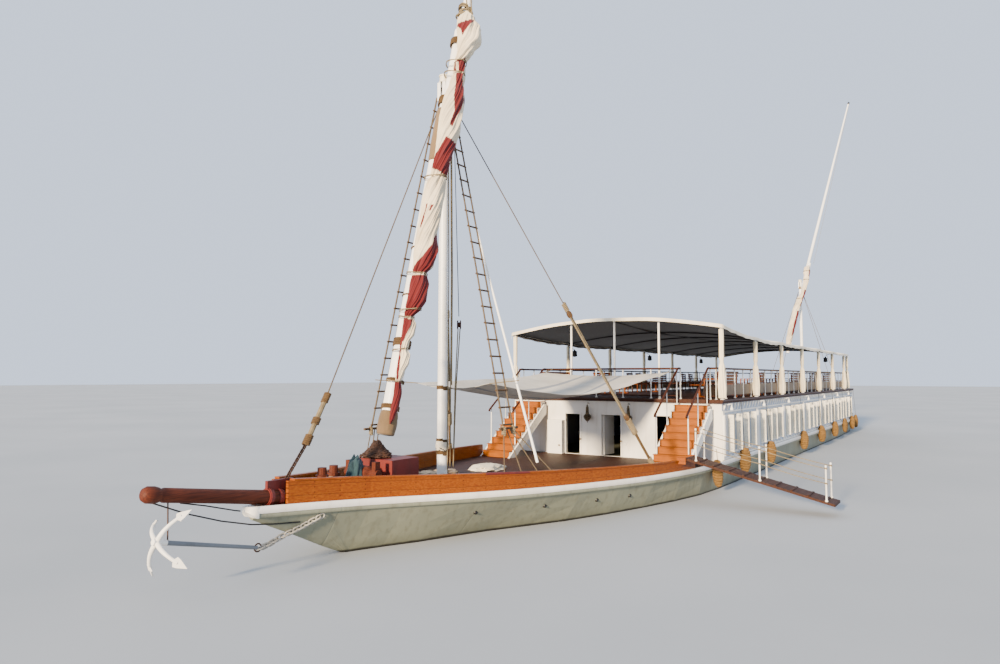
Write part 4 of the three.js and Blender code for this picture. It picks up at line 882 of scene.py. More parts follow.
for name, side in SIDES.items():
    node = "awning_frame_" + name
    y = side * POST_Y
    posts, beams = Form(), Form()
    for x in POSTS:
        top = awning_edge(x) - 0.02
        tall = top - DECK_TOP
        posts.turned((x, y, DECK_TOP + 0.001), UP, [
            (0, 0.07), (0.02, 0.07), (0.03, 0.042), (tall - 0.05, 0.042), (tall, 0.05)], 12)
    for fore, aft in zip(POSTS, POSTS[1:]):
        steps = [fore + (aft - fore) * k / 8 for k in range(9)]
        beams.tube([(x, y - side * 0.02, awning_edge(x) - 0.045) for x in steps], 0.022, 8)
    piece("awning_posts_" + name, posts, white, stands_for=(node,))
    piece("awning_beams_" + name, beams, dark_iron, stands_for=(node,))
    for number, x in enumerate(POSTS):
        top = awning_edge(x) - DECK_TOP - CURTAIN["clear"]
        folds = Form().sheet(curtain_rows(x, y, top, number, side), 0.008, True)
        drape = piece(f"curtain_{name}_{number}", folds, curtain_cloth,
                      stands_for=(node,), smooth=80)

# Foredeck shade
# columns: x, half the width, height of the edge
SHADE = {"aft": (11.35, 2.35, 3.66), "fore": (19.9, 1.1, 3.34),
         "sag": 0.46, "hollow": 0.12, "tilt": 0.2, "waist": 0.25}


def shade_rows():
    """Rows of points across the shade, which sags between the house and the mast."""
    rows = []
    for i in range(49):
        share = i / 48
        sway = math.sin(math.pi * share)
        x, half, edge = [SHADE["aft"][k] + (SHADE["fore"][k] - SHADE["aft"][k]) * share for k in range(3)]
        half -= SHADE["waist"] * sway
        row = []
        for j in range(33):
            turn = -1 + j / 16
            drop = SHADE["sag"] * sway * (1 - 0.45 * turn ** 2) + SHADE["hollow"] * (1 - turn ** 2)
            ripple = 0.035 * math.sin(9 * turn + 5 * share) * sway + 0.02 * wander(share * 9, turn * 4, 1)
            fray = 1 + 0.02 * wander(share * 30, turn, 7)
            row.append((x, turn * half * fray, edge - drop - SHADE["tilt"] * turn * sway + ripple))
        rows.append(row)
    return rows


shade = piece("foredeck_shade_cloth", Form().sheet(shade_rows(), 0.008), shade_cloth,
              stands_for=("foredeck_shade",), smooth=80)
shade_ties = Form()
for side in (1, -1):
    for tie in (((11.37, 2.3, 3.68), (11.15, 2.28, 3.74), (10.95, 2.26, 3.82)),
                ((19.85, 1.08, 3.34), (20.05, 1.6, 3.38), (20.3, 2.2, 3.42))):
        shade_ties.tube([(x, side * y, z) for x, y, z in tie], 0.012, 6)
shade_ties.tube([(19.88, 0, 3.22), (20.15, 0, 3.26)], 0.012, 6)
piece("foredeck_shade_ties", shade_ties, pale_rope, stands_for=("foredeck_shade",))

# Masts: foot, pole, a squared head with its sheave, a turned cap and bands of rope
poop = Surface("poop_deck")
TOWARDS = Vector((0.828, 0.561, 0.0))
ACROSS = Vector((-0.561, 0.828, 0.0))


def mast(name, deck, x, top, foot_radius, head_radius):
    foot = deck.top(x, 0)
    neck = top - 0.62 - foot
    wide = head_radius + 0.022
    pole = Form().turned((x, 0, foot + 0.0006), UP, [
        (0, foot_radius + 0.03), (0.1, foot_radius + 0.025), (0.14, foot_radius),
        (neck / 2, (foot_radius + head_radius) / 2), (neck, head_radius)], 32)
    pole.block((x - wide, -wide, top - 0.66), (x + wide, wide, top - 0.56))
    pole.block((x - wide, 0.03, top - 0.57), (x + wide, wide, top - 0.2))
    pole.block((x - wide, -wide, top - 0.57), (x + wide, -0.03, top - 0.2))
    piece(name + "_pole", pole, spar_white, stands_for=(name,), bevel=0.005)
    cap = Form().turned((x, 0, top - 0.2), UP, [
        (0, wide), (0.01, wide + 0.016), (0.03, wide + 0.016), (0.04, wide - 0.004), (0.155, wide - 0.004),
        (0.16, wide + 0.014), (0.185, wide + 0.014), (0.2, wide - 0.012)], 32)
    piece(name + "_cap", cap, cream, stands_for=(name,))
    sheave = Form().turned((x, -0.028, top - 0.38), (0, 1, 0), [
        (0, 0.1), (0.012, 0.105), (0.028, 0.088), (0.044, 0.105), (0.056, 0.1)], 24)
    piece(name + "_sheave", sheave, dark_iron, stands_for=(name,))


mast("main_mast", fore_deck, 20.27, 10.96, 0.125, 0.103)
mast("mizzen_mast", poop, -22.3, 10.81, 0.12, 0.09)


def coil(middle, way, radius, turns, thick):
    """Rope wound in close turns round an axis, twenty points to a turn."""
    middle, (way, across, up) = Vector(middle), axes_about(way)
    reach = radius + thick * 0.9
    points = []
    for k in range(turns * 20 + 1):
        turn = 2 * math.pi * k / 20
        points.append(middle + way * (thick * 1.96 * (k / 20 - turns / 2))
                      + across * reach * math.cos(turn) + up * reach * math.sin(turn))
    return points


def wound(name, turns_of, thick, finish, body="hull", stands_for=()):
    """Several coils as one piece; each row is middle, way, radius and turns."""
    form = Form()
    for middle, way, radius, turns in turns_of:
        form.tube(coil(middle, way, radius, turns, thick), thick, 8)
    return piece(name, form, finish, body, stands_for)


wound("main_mast_ties", [((20.27, 0, z), UP, radius, turns) for z, radius, turns in (
    (3.24, 0.118, 3), (1.99, 0.122, 2), (1.69, 0.123, 3))], 0.016, brown_rope)


def wrapping(name, base, way, long, radius, finish, seed, body="hull"):
    """Cloth wrapped round a spar, bulging between its lashings."""
    base, (way, across, up) = Vector(base), axes_about(way)
    rings = []
    for k in range(25):
        share = k / 24
        swell = 0.02 * math.sin(math.pi * share) - 0.012 * (share in (0, 1))
        ring = []
        for turn in round_turns(56):
            crease = 0.010 * wander(4 * math.cos(turn), 4 * math.sin(turn), 3.0 * share + seed)
            crease += 0.005 * math.sin(9 * turn + 12 * share)
            reach = radius + 0.008 + swell + abs(crease)
            ring.append(base + way * long * share
                        + across * reach * math.cos(turn) + up * reach * math.sin(turn))
        rings.append(ring)
    piece(name, Form().loft(rings), finish, body, smooth=80)


wrapping("main_mast_wrap", (20.27, 0, 1.72), UP, 0.26, 0.124, awning_cloth, 2.0)


# Yards: each place is distance up the yard, distance across the view and distance towards it
class Yard:
    def __init__(self, body, sling, up):
        self.body, self.sling, self.up = body, Vector(sling), Vector(up).normalized()

    def at(self, along, across=0.0, towards=0.0):
        return self.sling + self.up * along + ACROSS * across + TOWARDS * towards


MAIN = Yard("main_yard", (20.65, 0.32, 9.82), (-0.2549, 0, 1))
MIZZEN = Yard("mizzen_yard", (-22.11, 0.28, 10.2), (-4.0, 2.9, 14.8))


def spar(name, yard, shift, stations):
    """A rounded spar; stations are rows of distance along and radius, shift fades towards its last end."""
    first, last = stations[0][0], stations[-1][0]
    path = []
    for along, radius in stations:
        fade = (last - along) / (last - first)
        path.append(yard.at(along, shift[0] * fade, shift[1] * fade))
    pole = Form().tube(path, [radius for along, radius in stations], 28)
    piece(name, pole, spar_white, yard.body, (yard.body,))


# columns: piece, yard, shift across and towards the view, stations
SPARS = (
    ("main_yard_lower", MAIN, (0.0, 0.0),
     [(-7.75, 0.15), (-7.7, 0.165), (-7.0, 0.17), (-4.0, 0.166), (-1.5, 0.16), (0.33, 0.15)]),
    ("main_yard_middle", MAIN, (0.06, -0.08),
     [(-2.2, 0.06), (-1.2, 0.12), (0.0, 0.135), (2.3, 0.128), (2.34, 0.12)]),
    ("main_yard_upper", MAIN, (0.05, -0.16),
     [(0.9, 0.05), (1.6, 0.115), (3.3, 0.112), (8.0, 0.1), (12.0, 0.085), (16.0, 0.065), (19.12, 0.05),
      (19.2, 0.04)]),
    ("mizzen_yard_lower", MIZZEN, (0.0, 0.0),
     [(-5.2, 0.09), (-5.15, 0.105), (-3.0, 0.12), (0.0, 0.12), (1.9, 0.11), (1.95, 0.1)]),
    ("mizzen_yard_upper", MIZZEN, (-0.06, -0.1),
     [(0.2, 0.06), (1.2, 0.1), (4.0, 0.1), (8.0, 0.085), (12.0, 0.065), (15.5, 0.05)]),
)
for name, yard, shift, stations in SPARS:
    spar(name, yard, shift, stations)
yard_caps = Form().turned(MIZZEN.at(15.42), MIZZEN.up,
                          [(0, 0.055), (0.02, 0.075), (0.12, 0.075), (0.18, 0.05)], 16)
piece("mizzen_yard_cap", yard_caps, dark_iron, "mizzen_yard", ("mizzen_yard",))
wrapping("main_yard_sacking", MAIN.at(-1.34), MAIN.up, 1.4, 0.168, sacking, 5.0, "main_yard")
wrapping("main_yard_foot_wrap", MAIN.at(-7.78), MAIN.up, 0.5, 0.172, sacking, 9.0, "main_yard")
# columns: distance up the yard, distance across, radius, turns
YARD_LASHINGS = (
    (0.27, 0, 0.172, 6), (1.95, 0.01, 0.16, 5), (-7.2, 0, 0.172, 3), (-5.78, 0, 0.17, 5),
    (-6.62, 0, 0.171, 2), (3.0, 0, 0.115, 3), (-3.56, 0, 0.165, 1), (-4.7, 0, 0.166, 1))
yard_turns = [(MAIN.at(along, across), MAIN.up, *rest) for along, across, *rest in YARD_LASHINGS]
wound("main_yard_lashings", yard_turns, 0.018, brown_rope, "main_yard")

# Furled sails
# columns: distance up the yard, left and right edge of the cloth across the view
MAIN_EDGES = [
    (2.79, 0.06, 0.16), (2.59, -0.07, 0.35), (2.26, -0.06, 0.54), (1.91, 0.04, 0.60),
    (1.68, 0.06, 0.47), (1.5, 0.05, 0.40), (1.33, 0.02, 0.31), (1.01, 0.05, 0.33), (0.72, 0.02, 0.36),
    (0.31, -0.07, 0.43), (-0.08, -0.07, 0.43), (-0.58, -0.06, 0.46), (-0.84, -0.04, 0.43),
    (-1.31, -0.03, 0.37), (-1.78, -0.03, 0.33), (-1.91, -0.08, 0.35), (-2.41, -0.10, 0.37),
    (-3.21, -0.10, 0.36), (-3.67, -0.09, 0.44), (-3.97, -0.05, 0.39), (-4.16, -0.03, 0.28),
    (-4.47, -0.05, 0.37), (-4.78, -0.05, 0.36), (-4.99, -0.05, 0.29), (-5.18, -0.04, 0.16),
    (-5.36, -0.03, 0.25), (-5.57, -0.02, 0.25), (-5.75, 0.0, 0.17), (-5.91, 0.0, 0.17),
    (-6.05, 0.01, 0.25), (-6.21, 0.01, 0.25), (-6.41, 0.02, 0.18), (-6.61, 0.03, 0.15),
    (-6.91, 0.04, 0.21), (-7.14, 0.04, 0.2), (-7.41, 0.05, 0.16), (-7.53, 0.07, 0.11),
]
MIZZEN_EDGES = [
    (1.75, -0.14, -0.04), (1.6, -0.33, 0.0), (1.2, -0.31, 0.12), (0.9, -0.2, 0.15), (0.3, -0.13, 0.19),
    (0.0, -0.12, 0.18), (-0.5, -0.15, 0.15), (-1.0, -0.33, 0.1), (-1.8, -0.42, 0.02), (-3.0, -0.42, 0.02),
    (-4.0, -0.38, 0.0), (-4.7, -0.27, -0.04), (-4.95, -0.2, -0.08),
]
# Dyed panels, as corners of distance along the yard and across the view
MAIN_DYE = [
    [(2.34, -0.07), (2.47, 0.36), (2.39, 0.37), (2.16, 0.21), (1.99, 0.13), (2.12, 0.08)],
    [(1.3, 0.03), (1.39, 0.3), (1.22, 0.31), (1.01, 0.32), (1.01, 0.19), (1.27, 0.15), (1.27, 0.08),
     (1.01, 0.12), (1.04, 0.07)],
    [(0.99, 0.13), (0.97, 0.3), (0.65, 0.35), (0.48, 0.4), (0.3, 0.43), (-0.01, 0.42), (-0.54, 0.3),
     (-0.47, 0.22), (-0.09, 0.28), (0.3, 0.2), (0.7, 0.18)],
    [(-0.79, 0.19), (-0.89, 0.38), (-0.92, 0.44), (-1.08, 0.43), (-1.34, 0.37), (-1.78, 0.34),
     (-1.56, -0.05), (-1.26, 0.0)],
    [(-2.49, 0.01), (-2.51, 0.05), (-3.1, 0.0), (-3.08, -0.05)],
    [(-2.53, 0.13), (-2.55, 0.19), (-2.7, 0.14), (-2.69, 0.1)],
    [(-3.18, 0.36), (-3.71, 0.47), (-3.93, 0.41), (-4.16, 0.3), (-4.16, -0.05), (-3.98, 0.0),
     (-3.76, 0.16), (-3.5, 0.31)],
    [(-4.21, -0.08), (-4.21, 0.32), (-4.45, 0.4), (-4.79, 0.4), (-5.17, 0.21), (-5.19, -0.06),
     (-4.87, -0.07), (-4.45, -0.08)],
    [(-5.21, -0.05), (-5.23, 0.18), (-5.37, 0.17), (-5.74, 0.06), (-5.74, -0.02), (-5.42, -0.04)],
    [(-5.74, -0.02), (-5.74, 0.03), (-6.6, 0.1), (-6.6, 0.04)],
    [(-6.62, 0.03), (-6.6, 0.16), (-6.9, 0.24), (-7.55, 0.25), (-7.55, 0.04), (-7.05, 0.03)],
]
MIZZEN_DYE = [
    [(1.45, -0.02), (1.4, 0.15), (0.8, 0.16), (0.85, 0.03)],
    [(-0.2, 0.0), (-0.3, 0.2), (-1.5, 0.12), (-1.6, -0.06), (-0.9, -0.02)],
    [(-1.9, -0.2), (-1.9, 0.1), (-3.6, 0.04), (-3.9, -0.16), (-2.9, -0.2)],
]
MAIN_TIES = [1.33, 1.01, -1.78, -4.16, -5.01, -5.18, -5.91, -6.61]
MIZZEN_TIES = [1.3, 0.6, -0.9, -4.6]


def between(rows, key):
    """Values of a table at a key, straight between its rows."""
    for high, low in zip(rows, rows[1:]):
        if low[0] <= key <= high[0]:
            share = (high[0] - key) / (high[0] - low[0])
            share = share * share * (3 - 2 * share)
            return [a + (b - a) * share for a, b in zip(high[1:], low[1:])]
    return list(rows[0][1:] if key > rows[0][0] else rows[-1][1:])


def inside(outline, x, y):
    hit = False
    for (x0, y0), (x1, y1) in zip(outline, outline[1:] + outline[:1]):
        if (y0 > y) != (y1 > y) and x < (x1 - x0) * (y - y0) / (y1 - y0) + x0:
            hit = not hit
    return hit


def furled(name, yard, edges, dye, ties, depth, folds, lean, step=0.03, sides=216):
    """A furled sail: a bundle of folds drawn in at its ties, with its dyed panels marked."""
    form, marks = Form(), []
    top, bottom = edges[0][0], edges[-1][0]
    count = round((top - bottom) / step)
    rings = []
    for k in range(count + 1):
        along = bottom + (top - bottom) * k / count
        left, right = between(edges, along)
        half, middle = (right - left) / 2, (right + left) / 2
        near = min(abs(along - tie) for tie in ties)
        draw = 1 - 0.10 * math.exp(-(near / 0.05) ** 2)
        gather = 1 + 0.8 * math.exp(-(near / 0.22) ** 2)
        ring = []
        for turn in round_turns(sides):
            drift = 1.3 * wander(along * 0.7, math.cos(turn), math.sin(turn))
            fold = 0.0
            for number, share in folds:
                fold += share * (1 - 2 * abs(math.sin(0.5 * (number * (turn + lean * along) + 2 * drift))))
            puff = 0.10 * wander(along * 1.6, 2 * math.cos(turn), 2 * math.sin(turn))
            reach = draw * (1 + fold * gather + puff)
            side, front = squared_off(turn, 0.85)
            towards = depth - (0.8 * half + 0.06) * front * reach
            ring.append(yard.at(along, middle + half * side * reach, towards))
            face_across = middle + half * side
            marks.append(1.0 if any(inside(panel, along, face_across) for panel in dye) else 0.0)
        rings.append(ring)
    mesh = mesh_of(name, form.loft(rings), 80)
    mesh.attributes.new("dye", "FLOAT", "POINT").data.foreach_set("value", marks)
    piece(name + "_bundle", mesh, sail_cloth, yard.body, (name,))


def sail_ties(name, yard, edges, ties, spar_radius, depth, thick):
    """Two tight turns of cord round the yard and the sail at each tie."""
    form = Form()
    for number, along in enumerate(ties):
        left, right = between(edges, along)
        low, high = min(left, -spar_radius) - thick, right + thick
        deep = 0.8 * (right - left) / 2 + 0.06
        front, back = depth + deep + thick, -spar_radius - thick
        for slant in (0.0, 0.035 * (-1) ** number):
            path = []
            for turn in round_turns(40):
                side, face = squared_off(turn, 0.75)
                path.append(yard.at(along + slant * side, (low + high) / 2 + (high - low) / 2 * side,
                                    (front + back) / 2 + (front - back) / 2 * face))
            form.tube(path, thick, 8, joined=True)
    piece(name + "_ties", form, pale_rope, yard.body)


# columns: folds round the sail, how deep they are
MAIN_FOLDS = [(7, 0.05), (13, 0.045), (29, 0.026)]
MIZZEN_FOLDS = [(7, 0.05), (11, 0.04), (19, 0.02)]
furled("main_sail", MAIN, MAIN_EDGES, MAIN_DYE, MAIN_TIES, 0.17, MAIN_FOLDS, -1.25)
furled("mizzen_sail", MIZZEN, MIZZEN_EDGES, MIZZEN_DYE, MIZZEN_TIES, 0.1, MIZZEN_FOLDS, -1.0, 0.04, 120)
sail_ties("main_sail", MAIN, MAIN_EDGES, MAIN_TIES, 0.16, 0.17, 0.009)
sail_ties("mizzen_sail", MIZZEN, MIZZEN_EDGES, MIZZEN_TIES, 0.12, 0.1, 0.009)

# Knots of rope at the head of the main sail and the halyard's end
knot = Form()
draw = random.Random(11)
for k in range(7):
    way = Vector((draw.uniform(-0.5, 0.5), draw.uniform(-0.5, 0.5), 1)).normalized()
    centre = MAIN.at(2.72 + 0.05 * k, 0.03 + 0.02 * (k % 3), 0.03)
    knot.tube(coil(centre, way, 0.12 + draw.uniform(0, 0.05), 1, 0.02), 0.02, 8)
for across in (0.05, 0.16):
    knot.tube([MAIN.at(along, across + out, near) for along, out, near in (
        (3.25, -0.02, 0.1), (2.95, 0.04, 0.17), (2.7, 0.1, 0.16))], 0.018, 8)
piece("main_sail_head_knot", knot, pale_rope, "main_yard")

# Ladders beside the main mast
LADDERS = {
    "port": {"head": (20.27, 0.31, 9.66), "foot": (20.26, 1.9, 2.32), "half_breadths": (0.13, 0.19),
             "rungs": 19, "plates": (20.5, 20.05, 19.6, 19.2)},
    "starboard": {"head": (20.27, -0.16, 10.4), "foot": (20.85, -1.66, 2.2), "half_breadths": (0.09, 0.13),
                  "rungs": 20, "plates": (21.15, 20.85, 20.55)},
}


def rail_edge(x, side):
    """A point on the inner edge of the bulwark's top."""
    height = bulwark_top(x)
    return Vector((x, side * (bulwark_face.side(x, height - 0.06, side) - 0.045), height))


for name, side in SIDES.items():
    spec = LADDERS[name]
    head, foot, plates = Vector(spec["head"]), Vector(spec["foot"]), spec["plates"]
    head_half, foot_half = spec["half_breadths"]
    node = ("shrouds_" + name,)
    strands, knots = Form(), Form()
    for end in (1, -1):
        above = head + Vector((end * head_half, 0, 0))
        below = foot + Vector((end * foot_half, 0, 0))
        strands.tube([above, above.lerp(below, 0.5) + Vector((0, 0.01 * side, -0.01)), below], 0.021, 8)
        knots.tube(coil(below - UP * 0.02, UP, 0.02, 5, 0.02), 0.02, 8)
    if name == "port":
        # The arm on the mast that this ladder hangs from
        strands.block((20.12, 0.13, 9.63), (20.42, 0.34, 9.69))
    for k, x in enumerate(plates):
        start = foot + Vector((foot_half * (1 - 2 * k / (len(plates) - 1)), 0, 0))
        strands.tube([start, rail_edge(x, side) + UP * 0.002], 0.013, 8)
    piece("ladder_strands_" + name, strands, grey_rope, stands_for=node)
    rung = Form().tube([(-1, 0, 0), (1, 0, 0)], 0.022, 8)
    sizes = {"first_size": (head_half + 0.04, 1, 1), "last_size": (foot_half + 0.04, 1, 1), "play": 0.03}
    rungs = rows_of("rungs", rung, worn_wood,
                    [(spec["rungs"], head.lerp(foot, 0.04), head.lerp(foot, 0.985), sizes)])
    rungs.tube([foot + Vector((reach, 0, 0.03)) for reach in (-0.36, 0, 0.36)], 0.03, 10)
    piece("ladder_rungs_" + name, rungs, worn_wood, stands_for=node)
    piece("ladder_lashings_" + name, knots, pale_rope, stands_for=node)


def pulley(centre, way, long, wide, thick):
    """A wooden block: two rounded cheeks either side of a sheave."""
    centre, way = Vector(centre), Vector(way).normalized()
    side = way.cross(TOWARDS if abs(way.z) > 0.99 else UP).normalized()
    face = way.cross(side)
    form = Form()
    for cheek in (1, -1):
        rings = []
        for offset, grow in ((0.02, 1.0), (thick, 0.82)):
            rings.append([centre + side * cheek * offset
                          + (way * long * math.cos(t) + face * wide * math.sin(t)) * grow
                          for t in round_turns(20)[::cheek]])
        form.loft(rings)
    form.turned(centre - side * 0.02, side, [(0, wide * 0.8), (0.04, wide * 0.8)], 16)
    return form


def line(name, path, radius, finish, body="hull", stands_for=(), slot="rope"):
    return piece(name, Form().tube(path, radius, 8), finish, body, stands_for)


# Backstays, each with a tackle of two blocks and a thick lashing at its foot
for name, side in SIDES.items():
    node = ("backstay_" + name,)
    head, foot = Vector((20.19, side * 0.09, 10.4)), rail_edge(15.6, side)
    way = (foot - head).normalized()
    upper, lower = head.lerp(foot, 0.573), head.lerp(foot, 0.862)
    across = Vector((0.045, 0, 0))
    line("backstay_wire_" + name, [head, upper - way * 0.16], 0.014, grey_rope, stands_for=node)
    falls = Form()
    for end in (1, -1):
        falls.tube([upper + across * end, lower + across * end * 0.8], 0.024, 8)
    piece("backstay_falls_" + name, falls, pale_rope, stands_for=node)
    blocks = merged([mesh_of("upper", pulley(upper, way, 0.12, 0.07, 0.05)),
                     mesh_of("lower", pulley(lower, way, 0.11, 0.065, 0.045))])
    piece("backstay_blocks_" + name, blocks, worn_wood, stands_for=node, bevel=0.01)
    wound("backstay_lashings_" + name, [
        (lower + way * 0.3, way, 0.045, 11), (upper - way * 0.22, way, 0.03, 6),
        (foot - way * 0.12, way, 0.035, 5)], 0.02, pale_rope, stands_for=node)
    line("backstay_pendant_" + name, [lower + way * 0.1, foot], 0.04, brown_rope, stands_for=node)

# Forestay: wire, a thick lanyard and a chain down to the stay iron
STAY = [Vector((x, 0, z)) for x, z in ((20.3, 10.45), (23.93, 3.08), (24.42, 2.2), (24.85, 1.625))]
line("forestay_wire", [STAY[0], STAY[1]], 0.014, grey_rope, stands_for=("forestay",))
line("forestay_lanyard", [STAY[1], STAY[2]], 0.05, pale_rope, stands_for=("forestay",))
stay_way = (STAY[2] - STAY[1]).normalized()
wound("forestay_lashings", [(STAY[1], stay_way, 0.04, 6), (STAY[2] - stay_way * 0.1, stay_way, 0.05, 6),
                            (STAY[1].lerp(STAY[2], 0.5), stay_way, 0.05, 4)], 0.018, brown_rope,
      stands_for=("forestay",))


def chain_link(long, wide, thick):
    """An oval link that lies along x; its sizes are half its length, half its breadth and its bar."""
    straight = long * 0.3
    oval = [((long - straight) * math.cos(t) + math.copysign(straight, math.cos(t)), wide * math.sin(t), 0)
            for t in round_turns(14)]
    return Form().tube(oval, thick, 8, joined=True)


link = chain_link(0.065, 0.03, 0.011)
stay_chain = on_path("stay_chain", [STAY[2], STAY[3]], link, rust, 0.045)
piece("forestay_chain", stay_chain, rust, stands_for=("forestay",))

# Mizzen stays, a line along the mizzen yard, and the main mast's halyards and tackle
stern_face = Surface("stern_bulwark")
for name, side in SIDES.items():
    stays = Form()
    for x in (-22.2, -23.4):
        half = stern_face.side(x, 1.05, side) - 0.045
        top = stern_face.top(x, side * half)
        stays.tube([(-22.3, side * 0.13, 9.9), (x, side * half, top + 0.001)], 0.014, 8)
    piece("mizzen_stay_wires_" + name, stays, grey_rope, stands_for=("mizzen_stays_" + name,))
line("mizzen_pennant_line", sagged(MIZZEN.at(15.3, 0.05), MIZZEN.at(1.9, 0.3), 0.08), 0.008, pale_rope,
     "mizzen_yard")
halyards = Form()
for dx, dy, low in ((-0.1, 0.13, 1.35), (-0.16, 0.11, 3.3), (0.02, 0.16, 1.3)):
    halyards.tube([(20.27 + dx * away, y, z) for away, y, z in (
        (1, dy * 0.9, 10.3), (1.15, dy + 0.03, 6.0), (1.2, dy + 0.02, low))], 0.014, 8)
piece("main_halyards", halyards, pale_rope)
tackle = Form().tube([(20.3, 0.33, 9.62), (20.16, 0.4, 4.95)], 0.010, 6)
piece("deck_tackle_line", tackle, tarred_rope)
tackle_block = pulley((20.15, 0.4, 4.75), UP, 0.12, 0.08, 0.05)
piece("deck_tackle_block", tackle_block, rail_brown, bevel=0.008)
tackle_falls = Form()
for dx in (-0.04, 0.04):
    tackle_falls.tube([(20.15 + dx, 0.4, 4.66), (20.2 + dx * 0.5, 0.34, 3.2), (20.22, 0.3, 1.35)], 0.014, 8)
piece("deck_tackle_falls", tackle_falls, pale_rope)
line("leaning_pole", [(19.9, 0.72, 7.15), (19.93, 1.2, 5.62), (20.0, 2.5, 1.6)], [0.018, 0.026, 0.03],
     spar_white, slot="spar_paint")

# Hull side: the white moulding along the deck's edge, the grey plank under it and the fenders
STRAKE = {"aft": -24.6, "fore": 25.6, "low": -0.015, "high": 0.115, "thick": 0.06}
PLANK = {"low": -0.09, "high": -0.02, "back": 0.01}


def deck_level(x):
    """Height of the deck, which rises towards the stern too."""
    stern = max(0.0, (-16.0 - x) / 8.6)
    return deck_height(x) + 0.20 * stern ** 2


def strake_half(x):
    """Half-breadth of the strake's outer face."""
    found = strake_face.meet((x, -9.0, deck_level(x) + 0.04), (0, 1, 0))
    return abs(found.y) if found else None


def moulding(side, low, high, back, swell):
    """A band along the strake between two heights above the deck, its face set back and swelling."""
    rings = []
    for k in range(171):
        x = STRAKE["aft"] + (STRAKE["fore"] - STRAKE["aft"]) * k / 170
        found = strake_half(x)
        if found is None:
            continue
        half, bottom, top = found - back, deck_level(x) + low, deck_level(x) + high
        inner = max(found - STRAKE["thick"], 0.0)
        ring = [(inner, bottom), (half - 0.012, bottom), (half, bottom + 0.015),
                (half + swell, (bottom + top) / 2), (half, top - 0.015), (half - 0.012, top), (inner, top)]
        rings.append([(x, side * out, z) for out, z in ring][::side])
    return Form().loft(rings)


BEAK = {"aft": 25.57, "tip": 25.74, "half": 0.18}


def beak_rings():
    """The strake's pointed end ahead of the stem."""
    rings = []
    for k in range(13):
        ahead = k / 12.2
        x = BEAK["aft"] + (BEAK["tip"] - BEAK["aft"]) * k / 12
        half = BEAK["half"] * math.sqrt(1 - ahead ** 2)
        low = deck_level(x) + PLANK["low"] + (STRAKE["high"] - PLANK["low"] - 0.05) * max(0.0, ahead - 0.25)
        high = deck_level(x) + STRAKE["high"] - 0.002
        rings.append([(x, -half, low), (x, half, low), (x, half, high), (x, -half, high)])
    return rings


for name, side in SIDES.items():
    white_band = moulding(side, STRAKE["low"], STRAKE["high"], 0.0, 0.006)
    piece("rub_strake_" + name, white_band, white, stands_for=("rub_strake",), smooth=50)
    grey_band = moulding(side, PLANK["low"], PLANK["high"], PLANK["back"], 0.0)
    piece("sheer_plank_" + name, grey_band, hull_grey, stands_for=("rub_strake",), smooth=50)
piece("rub_strake_beak", Form().loft(beak_rings()), white, stands_for=("rub_strake",))

FENDERS = [(12.1, 0.62), (9.2, 0.75), (5.6, 0.7), (-0.6, 0.7), (-5.0, 0.7), (-9.0, 0.7), (-12.6, 0.7),
           (-15.6, 0.7), (-17.3, 0.7)]


def fender_mesh(seed):
    """A mat of coir wound round itself: an oval pad of coiled strands."""
    form = Form()
    draw = random.Random(seed)
    for layer in range(9):
        height = -0.34 + 0.085 * layer
        wide = 0.13 * math.sqrt(1 - ((layer - 4) / 4.5) ** 2)
        loop = [((wide + 0.02) * math.cos(t), wide * 0.72 * math.sin(t),
                 height + 0.012 * math.sin(2 * t + seed) + draw.uniform(-0.004, 0.004))
                for t in round_turns(22)]
        form.tube(loop, 0.052, 10, joined=True)
    core = [(0, 0, -0.41 + 0.82 * k / 8) for k in range(9)]
    form.tube(core, [0.05 + 0.05 * math.sin(math.pi * k / 8) for k in range(9)], 12)
    return form


fenders, fender_ropes = [], Form()
for number, (x, height) in enumerate(FENDERS):
    reach = strake_half(x) + 0.115
    mesh = mesh_of("fender", fender_mesh(number), 60)
    draw = random.Random(number + 70)
    tilt = Matrix.Rotation(draw.uniform(-0.12, 0.12), 4, "Y")
    spin = Matrix.Rotation(draw.uniform(0, 3), 4, "Z")
    mesh.transform(Matrix.Translation((x, reach, height - 0.02)) @ tilt @ spin)
    fenders.append(mesh)
    high = 2.66 if x < 10.9 else 1.3
    fender_ropes.tube([(x, reach, height + 0.36), (x + 0.02, reach - 0.02, height + 0.7),
                       (x + draw.uniform(-0.1, 0.1), 4.02 if high > 2 else reach - 0.06, high)], 0.008, 6)
piece("fenders", merged(fenders), fender_rope, stands_for=("rub_strake",))
piece("fender_ropes", fender_ropes, tarred_rope, stands_for=("rub_strake",))
scuppers = Form()
for x in (17.6, 16.4, 19.2, 21.0):
    for side in (1, -1):
        height = deck_height(x) - 0.36
        scuppers.turned((x, side * (hull_face.side(x, height, side) - 0.03), height), (0, side, 0),
                        [(0, 0.05), (0.045, 0.05), (0.055, 0.042), (0.056, 0.02)], 14)
piece("scuppers", scuppers, dark_iron)


def rail_cap(aft, fore, side, proud, steps):
    """The rounded board on the bulwark's top between two places; proud grows it all round."""
    rings = []
    for k in range(steps + 1):
        x = aft + (fore - aft) * k / steps
        top = bulwark_top(x)
        half = bulwark_face.side(x, top - 0.06, side)
        ring = [(half - 0.115 - proud, top + 0.001), (half + 0.02 + proud, top + 0.001),
                (half + 0.025 + proud, top + 0.022), (half + 0.015, top + 0.038 + proud),
                (half - 0.105, top + 0.038 + proud)]
        rings.append([(x, side * out, z) for out, z in ring][::side])
    return rings


